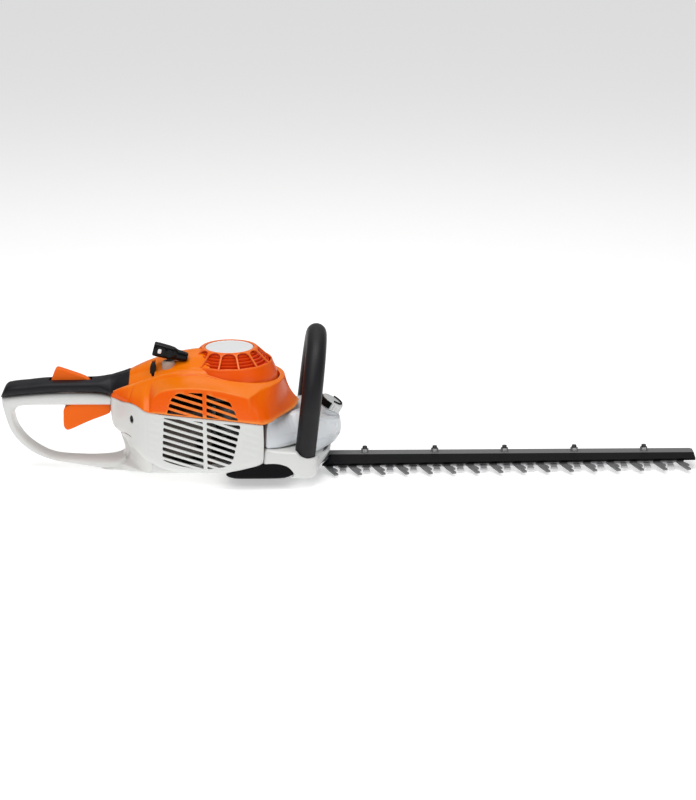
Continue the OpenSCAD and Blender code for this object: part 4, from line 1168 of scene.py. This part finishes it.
def make_starter_grip():
    """The grip is hollow at the rear, with two pockets in its near side, the rope's knot and a plug; knot
    and plug are white, which also paints the bright highlights in the pocket and the hollow.
    """
    rings = [across_grip(along, wide, tall, 36, sag) for along, wide, tall, sag in GRIP_RINGS]
    grip = loft("starter_pull_grip", rings, angle=45)
    hollow = [across_grip(along, 5.2 * k, 5.8 * k, 24) for along, k in ((-30, 1), (-12, 0.9))]
    cut(grip, [loft("cut", hollow)], 45)
    side = GRIP_CENTRE.y - 8.4
    for along, long, tall, depth in ((-13, 6.6, 6.2, 1.6), (-1.2, 4.2, 5.6, 1.4)):
        mouth = grip_oval(along, long, tall, side - 3)
        bottom = grip_oval(along, long - 0.6, tall - 0.6, side + depth)
        cut(grip, [loft("cut", [mouth, bottom])], 45)
    # A white knot in the near pocket, which also stands for the painted highlight there.
    knot = loft("starter_knot_and_highlight", [grip_oval(-14, long, tall, side + depth) for long, tall, depth in
                                      ((1.4, 1.6, 0.1), (2.2, 2.8, 0.7), (2.4, 3.0, 1.7))])
    place(knot, "badge_white", "pull_grip")
    # A white plug deep in the rear hollow, which also stands for the painted highlight inside it.
    plug_rings = ((-13.4, 1), (-15.5, 0.9), (-16.2, 0.4))
    rear = [across_grip(along, 4.9 * k, 5.5 * k, 24) for along, k in plug_rings]
    place(loft("starter_plug_and_highlight", rear), "badge_white", "pull_grip")
    place(grip, "black_gloss", "pull_grip", ["starter_grip"])
    make_pulled_rope()


def make_pulled_rope():
    """The rope between guide and grip, as one straight tube."""
    fixed, pulled = Vector((*ROPE_AT, 143)), Vector((*ROPE_AT, 150))
    heights = [138, *np.linspace(fixed.z, pulled.z, 60), 152]
    rope = tube("starter_rope_pulled", [(*ROPE_AT, z) for z in heights], 2.1, sides=14)
    dress(rope, "rope_fibre")
    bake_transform(rope)


# ---------- camera, light, floor ----------
def make_camera():
    data = bpy.data.cameras.new("camera")
    cam = new_object("camera", data)
    data.sensor_width = 36
    data.lens = 105.5
    data.clip_end = 50
    azimuth, elevation, distance = radians(-1.2), radians(16.5), 3.0
    target = Vector((0.1507, 0, 0.087))
    direction = Vector((sin(azimuth) * cos(elevation), -cos(azimuth) * cos(elevation),
                        sin(elevation)))
    cam.location = target + direction * distance
    cam.rotation_euler = (-direction).to_track_quat("-Z", "Y").to_euler()
    bpy.context.scene.camera = cam


def area_light(name, place_at, aim, size, power):
    data = bpy.data.lights.new(name, "AREA")
    data.shape = "RECTANGLE"
    data.size, data.size_y = size
    data.energy = power
    lamp = new_object(name, data)
    lamp.location = place_at
    lamp.rotation_euler = (Vector(aim) - Vector(place_at)).to_track_quat("-Z", "Y").to_euler()


def make_studio():
    world = bpy.data.worlds.new("studio")
    bpy.context.scene.world = world
    world.use_nodes = True
    connect(world.node_tree, world.node_tree.nodes["Background"], {"Color": (1, 1, 1, 1), "Strength": 0.28})
    area_light("key", (-0.6, -1.5, 1.9), (0.1, 0, 0.08), (1.2, 0.8), 12.5)
    area_light("top", (0.1, -0.1, 2.2), (0.1, 0, 0.08), (1.6, 0.8), 22)
    area_light("fill", (1.5, -1.5, 0.8), (0.2, 0, 0.06), (0.9, 0.6), 2.5)
    area_light("back", (0.2, 1.4, 1.7), (0.1, 0, 0.08), (2.0, 0.7), 4)
    make_floor()
    settings = bpy.context.scene.view_settings
    settings.view_transform = "Standard"
    settings.look = "None"


def make_floor():
    """A pale floor just under the machine, which glows a little so that it stays pale far away."""
    mesh = bpy.data.meshes.new("floor")
    mesh.from_pydata([(x, y, -0.0008) for x, y in box(-30, -30, 30, 30)], [], [(0, 1, 2, 3)])
    floor = new_object("floor", mesh)
    paint = surface("floor_paint", (0.86, 0.86, 0.86), 0.6, 0.02, 300, 0.004)
    glow = {"Emission Color": (1, 1, 1, 1), "Emission Strength": 0.46}
    connect(paint.node_tree, paint.node_tree.nodes["Principled BSDF"], glow)
    floor.data.materials.append(paint)


make_camera()
make_studio()
dress_cad_nodes()
make_cover()
make_saddle()
make_panels()
make_case_screws()
make_dome()
make_handle()
make_grip()
make_controls()
make_bow()
make_base()
make_foot()
make_tank()
make_cap()
make_starter_grip()
